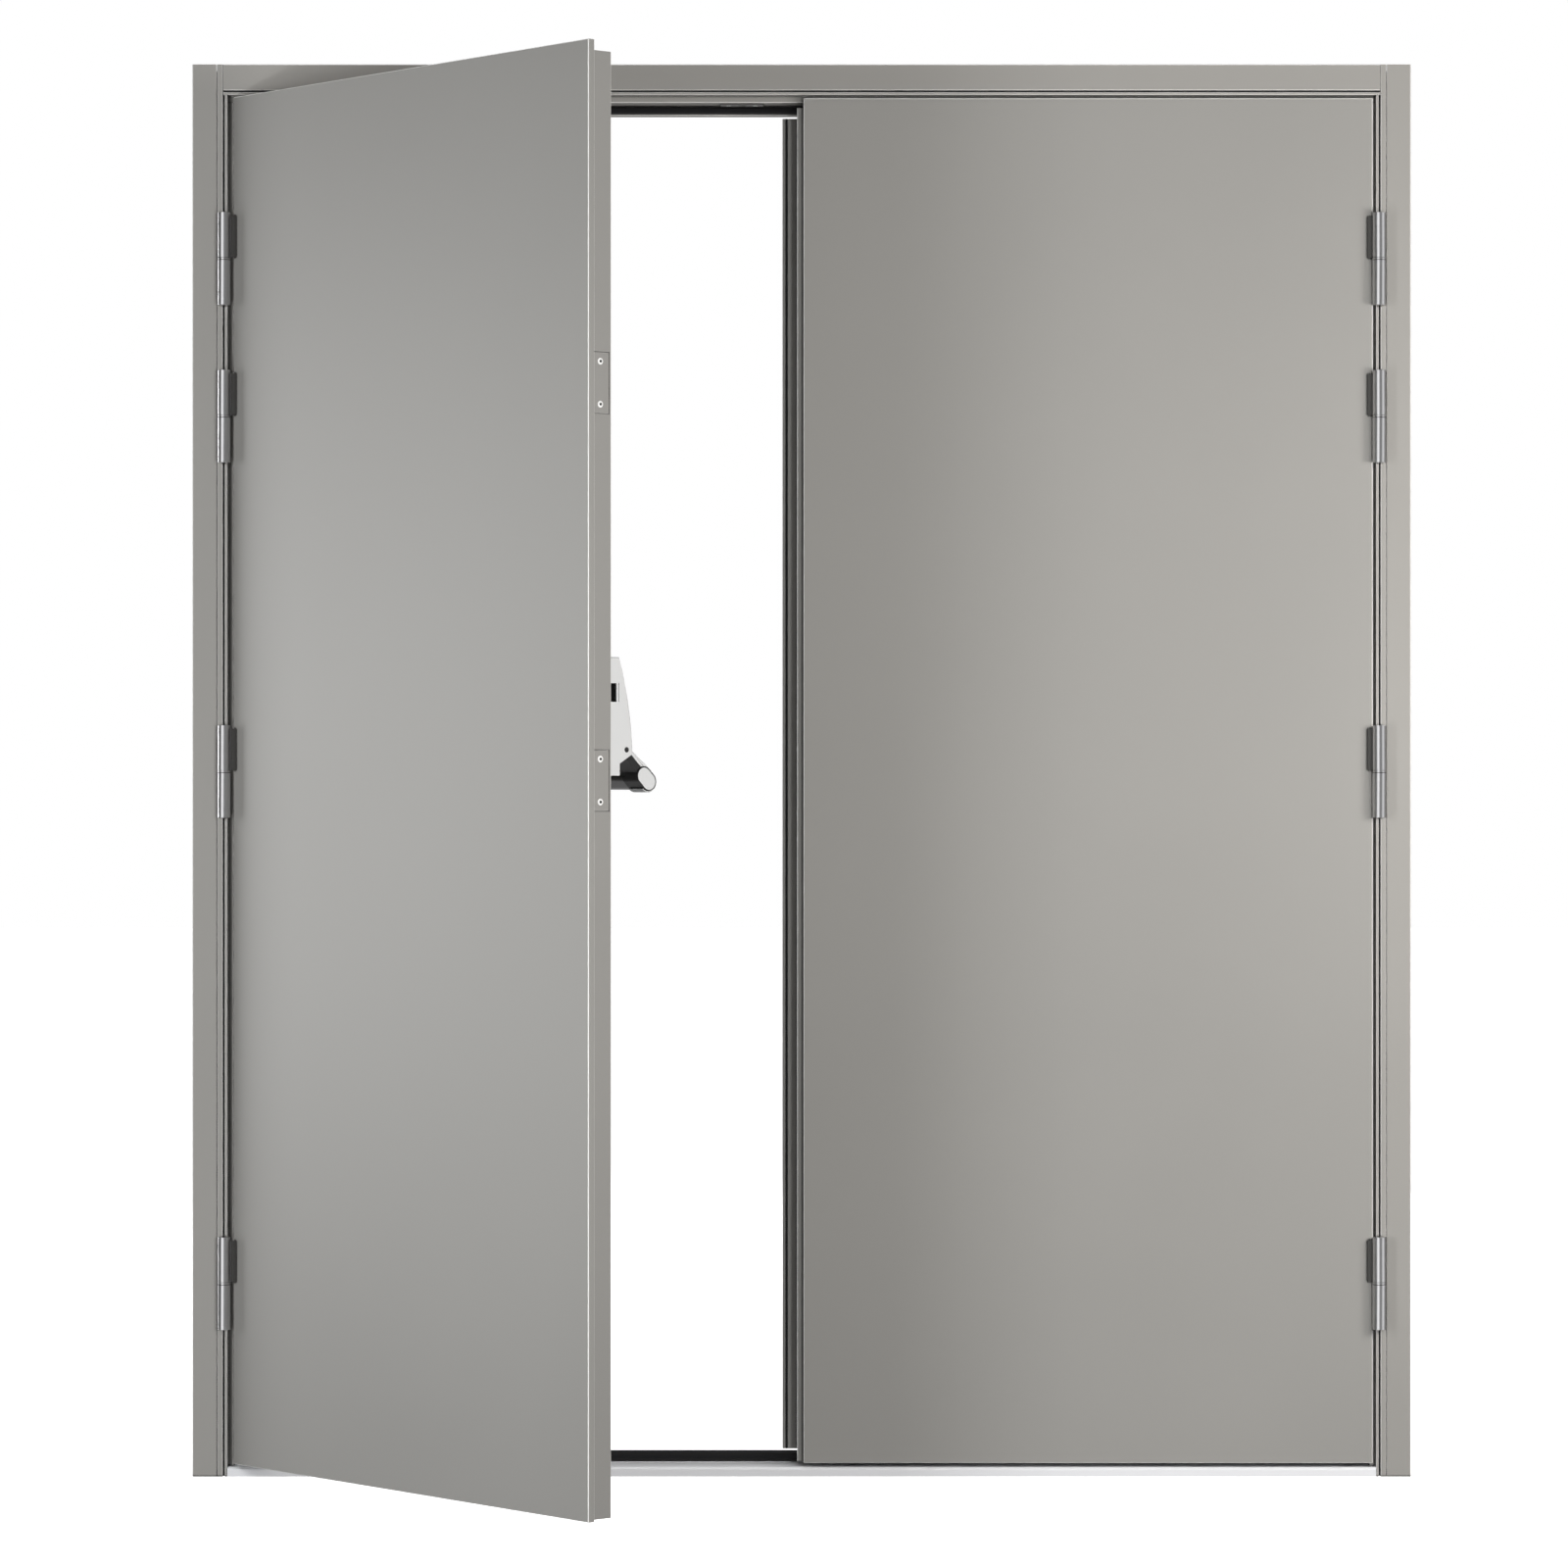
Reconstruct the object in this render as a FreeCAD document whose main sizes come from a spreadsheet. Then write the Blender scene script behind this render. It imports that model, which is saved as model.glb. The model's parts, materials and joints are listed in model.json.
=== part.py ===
import FreeCAD, Part
import math
import os
import re
import Sketcher

# Steel double-leaf exit door set: folded steel frame with a double rebate, silver sill, an active
# leaf with a push bar, standing open, and a passive leaf, closed. Millimetres. The origin is on
# the ground in the middle of the frame, X runs along the wall, -Y is the side the leaves open to.

SIZES = {
    # Frame
    "frame_width": 1812,
    "frame_height": 2100,
    "frame_depth": 80,
    "frame_sheet": 1.5,
    "bend_radius": 0.5,
    "hem_flat": 0.8,
    "weld_gap": 0.3,
    "trim_face": 36,
    "trim_seam": 0.5,
    "strip_width": 9,
    "strip_return": 20,
    "groove_width": 2.5,
    "groove_depth": 9,
    "lip_width": 3.8,
    "rebate_depth": 16,
    "jamb_rebate_step": 8,
    "head_face": 39,
    "head_rebate_step": 10,
    "stop_depth": 60,
    "stop_width": 14,
    "anchor_hole": 11,
    "anchor_depth": 40,
    "anchor_low": 420,
    "anchor_high": 1680,
    # Sill
    "sill_height": 14,
    "sill_rise": 30,
    "sill_wall": 2.5,
    "sill_nose": 3,
    # Seals
    "seal_height": 5,
    "seal_width": 10,
    "seal_edge": 2,
    "seal_bevel": 2,
    # Leaves
    "leaf_clearance": 5,
    "leaf_sheet": 1.5,
    "leaf_flange": 22,
    "sill_gap": 6,
    "meeting_gap": 5.4,
    "rear_side_inset": 8,
    "rear_top_inset": 13,
    "rear_foot_inset": 1.3,
    "active_lip": 11.5,
    "passive_tongue": 9.5,
    "rest_angle": 49.3,
    # Hinges
    "barrel_radius": 10,
    "barrel_stand": 11,
    "barrel_length": 137,
    "barrel_overhang": 3.5,
    "split_rise": 1.4,
    "pin_radius": 5,
    "pin_reach": 55,
    "pin_clearance": 0.06,
    "knuckle_gap": 0.6,
    "frame_wing_sink": 8,
    "wing_play": 0.3,
    "wing_setback": 5,
    "leaf_wing_width": 12,
    "leaf_wing_height": 5,
    "leaf_wing_gap": 1,
    "hinge_top_drop": 290.4,
    "hinge_upper_drop": 524.3,
    "hinge_middle_drop": 1.6,
    "hinge_low": 288.5,
    # Meeting strip and keeps
    "strip_reach": 22,
    "strip_base": 19,
    "strip_sheet": 2,
    "strip_stand": 6,
    "strip_depth": 12,
    "strip_lip": 5,
    "strip_slot": 2.5,
    "strip_slot_depth": 4,
    "strip_seal_proud": 0.8,
    "keep_width": 24,
    "keep_length": 190,
    "keep_sheet": 2,
    "keep_level": 1035,
    "keep_slot_width": 12,
    "keep_slot_length": 60,
    "head_keep_offset": 89,
    "head_keep_length": 64,
    "head_keep_width": 24,
    "head_keep_hole": 14,
    # Lock plates in the active leaf's edge
    "plate_width": 30,
    "plate_length": 84,
    "plate_sheet": 2.5,
    "plate_seam": 0.6,
    "plate_level": 1035,
    "upper_plate_level": 1581,
    # Push bar
    "casing_inset": 40,
    "casing_far_inset": 92,
    "casing_width": 46,
    "casing_wall": 2.5,
    "casing_drop": 35.8,
    "casing_height": 163.8,
    "casing_foot_depth": 37.6,
    "casing_step": 16.7,
    "casing_chin_depth": 60.5,
    "casing_chin_rise": 30.1,
    "casing_cheek_rise": 40.8,
    "casing_top_depth": 37.2,
    "casing_belly_radius": 500,
    "casing_round": 2,
    "pivot_depth": 49.8,
    "pivot_level": 1077.6,
    "pivot_radius": 3.8,
    "pivot_clearance": 0.08,
    "latch_rise": 102,
    "latch_height": 25.7,
    "latch_near": 8,
    "latch_far": 31.9,
    "latch_slit": 35.4,
    "latch_slit_width": 0.8,
    "arm_length": 57,
    "arm_angle": 44.6,
    "arm_hub": 8,
    "arm_width": 30,
    "arm_thickness": 11,
    "cup_radius": 12.6,
    "cup_span": 12,
    "cup_wall": 1.3,
    "cup_inset": 6,
    "cover_start": 8,
    "cover_root": 9.8,
    "cover_wall": 2.2,
    "cap_sheet": 3,
    "bar_fit": 0.1,
    "bar_wall": 2,
}

doc = FreeCAD.newDocument("SteelDoorSet")
sheet = doc.addObject("Spreadsheet::Sheet", "Sizes")
for row, (alias, value) in enumerate(SIZES.items(), start=1):
    sheet.set(f"A{row}", alias)
    sheet.set(f"B{row}", str(value))
    sheet.setAlias(f"B{row}", alias)
doc.recompute()

# Places that several pieces share, as formulas of the sizes. Across the door X is measured from
# the middle, depths from the frame's face, and "in" distances from the frame's outer edge.
HALF = "(frame_width / 2)"
STRIP_IN = "(trim_face + trim_seam)"
GROOVE_IN = f"({STRIP_IN} + strip_width)"
LIP_IN = f"({GROOVE_IN} + groove_width)"
REVEAL_IN = f"({LIP_IN} + lip_width)"
STOP_IN = f"({REVEAL_IN} + jamb_rebate_step)"
EDGE_IN = f"({STOP_IN} + stop_width)"
HEAD_REVEAL = "(frame_height - head_face - groove_width - lip_width)"
HEAD_STOP = f"({HEAD_REVEAL} - head_rebate_step)"
HEAD_EDGE = f"({HEAD_STOP} - stop_width)"
LEAF_SIDE = f"({HALF} - {REVEAL_IN} - leaf_clearance)"
LEAF_TOP = f"({HEAD_REVEAL} - leaf_clearance)"
LEAF_FOOT = "(sill_height + sill_gap)"
LIP_DEPTH = "(rebate_depth - leaf_clearance)"
LEAF_DEPTH = "(stop_depth - seal_height - leaf_clearance)"
REAR_SIDE = f"({LEAF_SIDE} - rear_side_inset)"
REAR_TOP = f"({LEAF_TOP} - rear_top_inset)"
REAR_FOOT = f"({LEAF_FOOT} + rear_foot_inset)"
MEETING = "(meeting_gap / 2)"
FOLD = "(frame_sheet + bend_radius)"
LEAF_FOLD = "(leaf_sheet + bend_radius)"
HEM = "((lip_width - hem_flat) / 2)"
AXIS = f"({HALF} - {REVEAL_IN} + barrel_overhang)"

FRAME = {"across": "0", "inward": "0", "turn": "0"}
ACTIVE = {"across": AXIS, "inward": "barrel_stand", "turn": "-rest_angle"}
PASSIVE = {"across": f"-{AXIS}", "inward": "barrel_stand", "turn": "0"}
UP = FreeCAD.Vector(0, 0, 1)
ALONG_WALL = FreeCAD.Vector(1, 0, 0)
THROUGH_WALL = FreeCAD.Vector(0, 1, 0)

pieces = []


def bound(formula):
    """Spell a formula of size names as an expression on the sheet."""
    return re.sub(r"[a-z][a-z_]+", lambda name: "Sizes." + name.group(), formula)


def size(formula):
    """The number that a formula of size names comes to."""
    return float(sheet.evalExpression(bound(formula)))


def seat(piece, label, carrier=FRAME):
    """Name a finished piece and place it with what carries it, a leaf turned about its hinges."""
    piece.Label = label
    piece.Placement = FreeCAD.Placement(FreeCAD.Vector(), FreeCAD.Rotation(UP, 1))
    piece.setExpression("Placement.Base.x", bound(f"-1 * ({carrier['across']})"))
    piece.setExpression("Placement.Base.y", bound(f"-frame_depth / 2 - {carrier['inward']}"))
    piece.setExpression("Placement.Rotation.Angle", bound(carrier["turn"]))
    pieces.append(piece)


def new_body(name):
    """An empty body for one piece."""
    return doc.addObject("PartDesign::Body", name)


def attached(body, name, plane, lift):
    """An empty sketch on one of the body's planes, lifted along its normal."""
    sketch = body.newObject("Sketcher::SketchObject", name)
    support = next(item for item in body.Origin.OriginFeatures if item.Role == plane)
    sketch.AttachmentSupport = [(support, "")]
    sketch.MapMode = "FlatFace"
    sketch.setExpression("AttachmentOffset.Base.z", bound(lift))
    return sketch


def pin_point(sketch, curve, end, place):
    """Tie one point of a curve to a pair of formulas, measured from the sketch's origin."""
    start = sketch.getPoint(curve, end)
    for kind, formula, value in zip(("DistanceX", "DistanceY"), place, start):
        index = sketch.addConstraint(Sketcher.Constraint(kind, -1, 1, curve, end, value))
        sketch.setExpression(f"Constraints[{index}]", bound(formula))


def outline(body, name, loops, plane="XY_Plane", lift="0"):
    """A sketch of closed loops, each a list of corners that are pairs of formulas."""
    sketch = attached(body, name, plane, lift)
    for corners in loops:
        count = len(corners)
        first = sketch.GeometryCount
        ring = [FreeCAD.Rotation(UP, 360 * step / count).multVec(ALONG_WALL) for step in range(count)]
        for step in range(count):
            sketch.addGeometry(Part.LineSegment(ring[step], ring[(step + 1) % count]), False)
        for step in range(count):
            after = first + (step + 1) % count
            sketch.addConstraint(Sketcher.Constraint("Coincident", first + step, 2, after, 1))
        for step, corner in enumerate(corners):
            pin_point(sketch, first + step, 1, corner)
    return sketch


def rounds(body, name, centres, radius, plane="XY_Plane", lift="0"):
    """A sketch of equal circles at centres that are pairs of formulas."""
    sketch = attached(body, name, plane, lift)
    for centre in centres:
        circle = sketch.addGeometry(Part.Circle(FreeCAD.Vector(1, 1, 0), UP, 1), False)
        pin_point(sketch, circle, 3, centre)
        index = sketch.addConstraint(Sketcher.Constraint("Radius", circle, 1))
        sketch.setExpression(f"Constraints[{index}]", bound(radius))
    return sketch


def pad(body, sketch, length, both_ways=False):
    """Raise a sketch along its plane's normal."""
    feature = body.newObject("PartDesign::Pad", sketch.Name + "Pad")
    feature.Profile = sketch
    feature.setExpression("Length", bound(length))
    feature.SideType = "Symmetric" if both_ways else "One side"
    return feature


def pocket(body, sketch, length):
    """Cut a sketch out along its plane's normal, and make sure that it did cut."""
    doc.recompute()
    before = body.Shape.Volume
    feature = body.newObject("PartDesign::Pocket", sketch.Name + "Pocket")
    feature.Profile = sketch
    feature.setExpression("Length", bound(length))
    feature.Reversed = True
    doc.recompute()
    if not feature.Shape.Volume < before:
        raise RuntimeError(f"{feature.Name} cuts nothing")
    return feature


def rectangle(x_low, x_high, y_low, y_high):
    """The corners of a rectangle."""
    return [(x_low, y_low), (x_high, y_low), (x_high, y_high), (x_low, y_high)]


def moved(corners, carrier):
    """Corners measured from the door's middle and face, as seen from the carrier's own hinge axis."""
    return [(f"({x}) + ({carrier['across']})", f"({y}) + {carrier['inward']}") for x, y in corners]


def folded(start, moves, gauge):
    """Corners of a sheet folded along square moves, the sheet lying to the left of its path.

    A move is a direction, +x, -x, +y or -y, and a length.
    """
    steps = {"+x": (1, 0), "-x": (-1, 0), "+y": (0, 1), "-y": (0, -1)}
    path = [start]
    for way, length in moves:
        x, y = path[-1]
        across, inward = steps[way]
        beside = f"{x} + {across} * {length}" if across else x
        behind = f"{y} + {inward} * {length}" if inward else y
        path.append((beside, behind))
    turns = [steps[way] for way, length in moves]
    lefts = [(-inward, across) for across, inward in turns]
    shifts = [lefts[0]]
    shifts += [(a[0] + b[0], a[1] + b[1]) for a, b in zip(lefts, lefts[1:])]
    shifts.append(lefts[-1])
    inner = [(f"{x} + {a} * {gauge}", f"{y} + {b} * {gauge}") for (x, y), (a, b) in zip(path, shifts)]
    return path + inner[::-1]


def stand(piece, label, across, height, turn):
    """Name a frame member drawn from its outer edge and turn it about the way through the wall."""
    piece.Label = label
    piece.Placement = FreeCAD.Placement(FreeCAD.Vector(), FreeCAD.Rotation(THROUGH_WALL, 1))
    piece.setExpression("Placement.Base.x", bound(across))
    piece.setExpression("Placement.Base.y", bound("-frame_depth / 2"))
    piece.setExpression("Placement.Base.z", bound(height))
    piece.setExpression("Placement.Rotation.Angle", bound(turn))
    pieces.append(piece)


def soften(body, name, radius, chosen):
    """Round the edges of a body's last feature that the chosen test picks."""
    doc.recompute()
    base = body.Tip
    names = [f"Edge{number}" for number, edge in enumerate(base.Shape.Edges, start=1) if chosen(edge)]
    feature = body.newObject("PartDesign::Fillet", name)
    feature.Base = (base, names)
    feature.setExpression("Radius", bound(radius))
    return feature


def round_folds(body, name, radius, corners):
    """Round the lengthwise edges of a padded section at some of its corners."""
    places = [FreeCAD.Vector(size(x), size(y), 0) for x, y in corners]

    def on_fold(edge):
        flat = [FreeCAD.Vector(end.X, end.Y, 0) for end in edge.Vertexes]
        return any(all(end.isEqual(place, 1e-4) for end in flat) for place in places)

    soften(body, name, radius, on_fold)


# Folded frame members: strip, groove, hemmed lip, two reveals and the stop.
def rebated(start, first_leg, strip, rebate_step, last_leg):
    """The folded section of a jamb or the head, from its strip round to its rear leg."""
    moves = [
        ("-y", first_leg),
        ("+x", strip),
        ("+y", "groove_depth"),
        ("+x", "groove_width"),
        ("-y", "groove_depth"),
        ("+x", "lip_width"),
        ("+y", "rebate_depth"),
        ("+x", rebate_step),
        ("+y", "(stop_depth - rebate_depth)"),
        ("+x", "stop_width"),
        ("+y", "(frame_depth - stop_depth)"),
        ("-x", last_leg),
    ]
    return folded((start, first_leg), moves, "frame_sheet")


def round_section(body, name, start, strip, rebate_step):
    """Give a padded jamb or head section the radii of its outward folds, smaller on the hemmed lip."""
    groove = f"({start} + {strip})"
    lip = f"({groove} + groove_width)"
    reveal = f"({lip} + lip_width)"
    stop = f"({reveal} + {rebate_step})"
    edge = f"({stop} + stop_width)"
    bends = [(start, "0"), (groove, "0"), (stop, "rebate_depth"), (edge, "stop_depth"), (edge, "frame_depth")]
    round_folds(body, name + "Bends", FOLD, bends)
    round_folds(body, name + "Hem", HEM, [(lip, "0"), (reveal, "0")])


def jamb(name, label, across, turn, level):
    """One upright, notched at the top where the head comes in; level turns heights to its own."""
    body = new_body(name)
    rear_leg = f"({EDGE_IN} - frame_sheet)"
    section = rebated(STRIP_IN, "strip_return", "strip_width", "jamb_rebate_step", rear_leg)
    pad(body, outline(body, name + "Section", [section]), "frame_height")
    round_section(body, name, STRIP_IN, "strip_width", "jamb_rebate_step")
    head_room = [
        ("0", HEAD_REVEAL),
        ("rebate_depth", HEAD_REVEAL),
        ("rebate_depth", HEAD_STOP),
        ("stop_depth", HEAD_STOP),
        ("stop_depth", HEAD_EDGE),
        ("frame_depth", HEAD_EDGE),
        ("frame_depth", "frame_height"),
        ("0", "frame_height"),
    ]
    notch = outline(body, name + "Notch", [[(depth, level(height)) for depth, height in head_room]],
                    "YZ_Plane", GROOVE_IN)
    pocket(body, notch, f"{EDGE_IN} - {GROOVE_IN}")
    stand(body, label, across, level("0"), turn)


def trim(name, label, across, turn, level):
    """The angle that closes a jamb against the wall, with its two anchor holes."""
    body = new_body(name)
    section = folded(("0", "frame_depth"), [("-y", "frame_depth"), ("+x", "trim_face")], "frame_sheet")
    pad(body, outline(body, name + "Section", [section]), "frame_height")
    round_folds(body, name + "Bend", FOLD, [("0", "0")])
    holes = [("anchor_depth", level(height)) for height in ("anchor_low", "anchor_high")]
    pocket(body, rounds(body, name + "Holes", holes, "anchor_hole / 2", "YZ_Plane"), "frame_sheet")
    stand(body, label, across, level("0"), turn)


def stop_seal(name, label, low, start, finish, across, height, turn):
    """A rubber strip on a stop's face; low is where it starts across that face."""
    body = new_body(name)
    high = f"({low} + seal_width)"
    crown = "(stop_depth - seal_height)"
    section = [
        (low, "stop_depth"),
        (low, f"{crown} + seal_bevel"),
        (f"{low} + seal_bevel", crown),
        (f"{high} - seal_bevel", crown),
        (high, f"{crown} + seal_bevel"),
        (high, "stop_depth"),
    ]
    pad(body, outline(body, name + "Section", [section], lift=start), f"{finish} - {start}")
    stand(body, label, across, height, turn)


def as_is(height):
    return height


def from_top(height):
    return f"frame_height - ({height})"


SIDES = (("left", "Left", f"-{HALF}", "0", as_is), ("right", "Right", HALF, "180", from_top))
SEAL_FOOT = "sill_height"
SEAL_TOP = f"({HEAD_EDGE} + seal_edge)"
for side, prefix, outer_edge, half_turn, level in SIDES:
    jamb(prefix + "Jamb", side + "_jamb", outer_edge, half_turn, level)
    trim(prefix + "Trim", side + "_jamb_trim", outer_edge, half_turn, level)
    ends = (SEAL_FOOT, SEAL_TOP) if level is as_is else (level(SEAL_TOP), level(SEAL_FOOT))
    start, finish = (f"({end})" for end in ends)
    stop_seal(prefix + "Seal", side + "_jamb_seal", f"({STOP_IN} + seal_edge)", start, finish,
              outer_edge, level("0"), half_turn)

head = new_body("Head")
HEAD_HALF = f"({HALF} - {GROOVE_IN})"
head_section = rebated("0", "(frame_depth - frame_sheet - weld_gap)", "head_face", "head_rebate_step",
                       f"(frame_height - {HEAD_EDGE})")
pad(head, outline(head, "HeadSection", [head_section]), f"2 * {HEAD_HALF}")
round_section(head, "Head", "0", "head_face", "head_rebate_step")
stand(head, "head", f"-{HEAD_HALF}", "frame_height", "90")
HEAD_SEAL_HALF = f"({HALF} - {STOP_IN} - seal_edge)"
stop_seal("HeadSeal", "head_seal", f"(frame_height - {HEAD_EDGE} - seal_edge - seal_width)",
          "0", f"2 * {HEAD_SEAL_HALF}", f"-{HEAD_SEAL_HALF}", "frame_height", "90")

# Sill: a hollow threshold that fills the space between the jambs' steps, with an upstand behind.
sill = new_body("Sill")
sill_outside = [
    ("0", "0"),
    ("frame_depth", "0"),
    ("frame_depth", "sill_rise"),
    ("stop_depth", "sill_rise"),
    ("stop_depth", "sill_height"),
    ("sill_nose", "sill_height"),
    ("0", "sill_height - sill_nose"),
]
sill_inside = [
    ("sill_wall", "sill_wall"),
    ("frame_depth - sill_wall", "sill_wall"),
    ("frame_depth - sill_wall", "sill_rise - sill_wall"),
    ("stop_depth + sill_wall", "sill_rise - sill_wall"),
    ("stop_depth + sill_wall", "sill_height - sill_wall"),
    ("sill_nose", "sill_height - sill_wall"),
    ("sill_wall", "sill_height - sill_nose"),
]
sill_section = outline(sill, "SillSection", [sill_outside, sill_inside], "YZ_Plane")
pad(sill, sill_section, f"2 * ({HALF} - {REVEAL_IN})", both_ways=True)


def sill_notch(sign):
    """Corners of the step where one end of the sill passes the jamb's rebate and stop."""
    steps = [
        (REVEAL_IN, "rebate_depth"),
        (STOP_IN, "rebate_depth"),
        (STOP_IN, "stop_depth"),
        (EDGE_IN, "stop_depth"),
        (EDGE_IN, "frame_depth"),
        (REVEAL_IN, "frame_depth"),
    ]
    return [(f"{sign} * ({HALF} - {inner})", depth) for inner, depth in steps]


pocket(sill, outline(sill, "SillNotches", [sill_notch(-1), sill_notch(1)]), "sill_rise")
seat(sill, "sill")
stop_seal("SillSeal", "sill_seal", "(seal_edge - sill_rise)", "0", f"2 * ({HALF} - {EDGE_IN})",
          f"-({HALF} - {EDGE_IN})", "0", "90")

# Bolt keep under the head, for the active leaf's top bolt.
head_keep = new_body("HeadKeep")
KEEP_DEPTH = "((rebate_depth + stop_depth) / 2)"
KEEP_FOOT = f"({HEAD_STOP} - keep_sheet)"
keep_plate = rectangle(
    "-head_keep_offset - head_keep_length / 2", "-head_keep_offset + head_keep_length / 2",
    f"{KEEP_DEPTH} - head_keep_width / 2", f"{KEEP_DEPTH} + head_keep_width / 2")
pad(head_keep, outline(head_keep, "HeadKeepPlate", [keep_plate], lift=KEEP_FOOT), "keep_sheet")
bolt_place = [("-head_keep_offset", KEEP_DEPTH)]
bolt_hole = rounds(head_keep, "HeadKeepHole", bolt_place, "head_keep_hole / 2", lift=KEEP_FOOT)
pocket(head_keep, bolt_hole, "keep_sheet")
seat(head_keep, "head_bolt_keep")


# Leaves: a front skin with a lip all round, folded back on itself, and a rear skin set in from it.
def tray_cut(body, name, corners, carrier, foot, top, inset):
    """Cut a space that stops an inset short of a skin's foot and top."""
    sketch = outline(body, name, [moved(corners, carrier)], lift=f"{foot} + {inset}")
    pocket(body, sketch, f"{top} - {foot} - 2 * {inset}")


def front_skin(name, label, carrier, low, high):
    """The sheet that shows from the front, its lip and its returned flange."""
    body = new_body(name)
    lip = moved(rectangle(low, high, "0", LIP_DEPTH), carrier)
    pad(body, outline(body, name + "Outside", [lip], lift=LEAF_FOOT), f"{LEAF_TOP} - {LEAF_FOOT}")
    inner_face = f"{LIP_DEPTH} - leaf_sheet"
    hollow = rectangle(f"{low} + leaf_sheet", f"{high} - leaf_sheet", "leaf_sheet", inner_face)
    tray_cut(body, name + "Hollow", hollow, carrier, LEAF_FOOT, LEAF_TOP, "leaf_sheet")
    window = rectangle(f"{low} + leaf_flange", f"{high} - leaf_flange", inner_face, LIP_DEPTH)
    tray_cut(body, name + "Window", window, carrier, LEAF_FOOT, LEAF_TOP, "leaf_flange")
    front = size(carrier["inward"])

    def on_face(edge):
        return all(abs(end.Y - front) < 1e-6 for end in edge.Vertexes)

    soften(body, name + "Folds", LEAF_FOLD, on_face)
    seat(body, label, carrier)


def rear_skin(name, carrier, outside, inside):
    """The sheet behind, open towards the front skin that it closes against."""
    body = new_body(name)
    block = outline(body, name + "Outside", [moved(outside, carrier)], lift=REAR_FOOT)
    pad(body, block, f"{REAR_TOP} - {REAR_FOOT}")
    tray_cut(body, name + "Hollow", inside, carrier, REAR_FOOT, REAR_TOP, "leaf_sheet")
    return body


def edge_window(body, name, edge, thickness, width, length, level, carrier):
    """Cut the opening in a skin's edge that a flush plate fills."""
    near, far = f"{EDGE_DEPTH} - ({width}) / 2", f"{EDGE_DEPTH} + ({width}) / 2"
    opening = moved(rectangle(edge, f"{edge} {thickness}", near, far), carrier)
    pocket(body, outline(body, name, [opening], lift=f"{level} - ({length}) / 2"), length)


FREE_EDGE = f"(-{MEETING} - active_lip)"
TONGUE_EDGE = f"({MEETING} - passive_tongue)"
EDGE_DEPTH = f"(({LIP_DEPTH} + {LEAF_DEPTH}) / 2)"

front_skin("ActiveFront", "active_front_skin", ACTIVE, f"-{LEAF_SIDE}", f"-{MEETING}")
active_rear = rear_skin(
    "ActiveRear", ACTIVE,
    rectangle(f"-{REAR_SIDE}", FREE_EDGE, LIP_DEPTH, LEAF_DEPTH),
    rectangle(f"-{REAR_SIDE} + leaf_sheet", f"{FREE_EDGE} - leaf_sheet",
              LIP_DEPTH, f"{LEAF_DEPTH} - leaf_sheet"))
round_folds(active_rear, "ActiveRearFolds", LEAF_FOLD,
            moved([(f"-{REAR_SIDE}", LEAF_DEPTH), (FREE_EDGE, LEAF_DEPTH)], ACTIVE))
LOCK_PLATES = (
    ("MainPlate", "main_lock_plate", "plate_level"),
    ("UpperPlate", "upper_lock_plate", "upper_plate_level"),
)
for name, label, level in LOCK_PLATES:
    edge_window(active_rear, name + "Window", FREE_EDGE, "- leaf_sheet", "plate_width + 2 * plate_seam",
                "plate_length + 2 * plate_seam", level, ACTIVE)
seat(active_rear, "active_rear_skin", ACTIVE)
for name, label, level in LOCK_PLATES:
    plate = new_body(name)
    shape = rectangle(f"{FREE_EDGE} - plate_sheet", FREE_EDGE, f"{EDGE_DEPTH} - plate_width / 2",
                      f"{EDGE_DEPTH} + plate_width / 2")
    foot = f"{level} - plate_length / 2"
    pad(plate, outline(plate, name + "Shape", [moved(shape, ACTIVE)], lift=foot), "plate_length")
    seat(plate, label, ACTIVE)

front_skin("PassiveFront", "passive_front_skin", PASSIVE, MEETING, LEAF_SIDE)
passive_rear = rear_skin(
    "PassiveRear", PASSIVE,
    [
        (TONGUE_EDGE, "rebate_depth"),
        (MEETING, "rebate_depth"),
        (MEETING, LIP_DEPTH),
        (REAR_SIDE, LIP_DEPTH),
        (REAR_SIDE, LEAF_DEPTH),
        (TONGUE_EDGE, LEAF_DEPTH),
    ],
    [
        (f"{TONGUE_EDGE} + leaf_sheet", "rebate_depth + leaf_sheet"),
        (f"{MEETING} + leaf_sheet", "rebate_depth + leaf_sheet"),
        (f"{MEETING} + leaf_sheet", LIP_DEPTH),
        (f"{REAR_SIDE} - leaf_sheet", LIP_DEPTH),
        (f"{REAR_SIDE} - leaf_sheet", f"{LEAF_DEPTH} - leaf_sheet"),
        (f"{TONGUE_EDGE} + leaf_sheet", f"{LEAF_DEPTH} - leaf_sheet"),
    ])
tongue_folds = [(TONGUE_EDGE, "rebate_depth"), (TONGUE_EDGE, LEAF_DEPTH), (REAR_SIDE, LEAF_DEPTH)]
round_folds(passive_rear, "PassiveRearFolds", LEAF_FOLD, moved(tongue_folds, PASSIVE))
edge_window(passive_rear, "KeepWindow", TONGUE_EDGE, "+ leaf_sheet", "keep_width + 2 * plate_seam",
            "keep_length + 2 * plate_seam", "keep_level", PASSIVE)
seat(passive_rear, "passive_rear_skin", PASSIVE)

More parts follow.
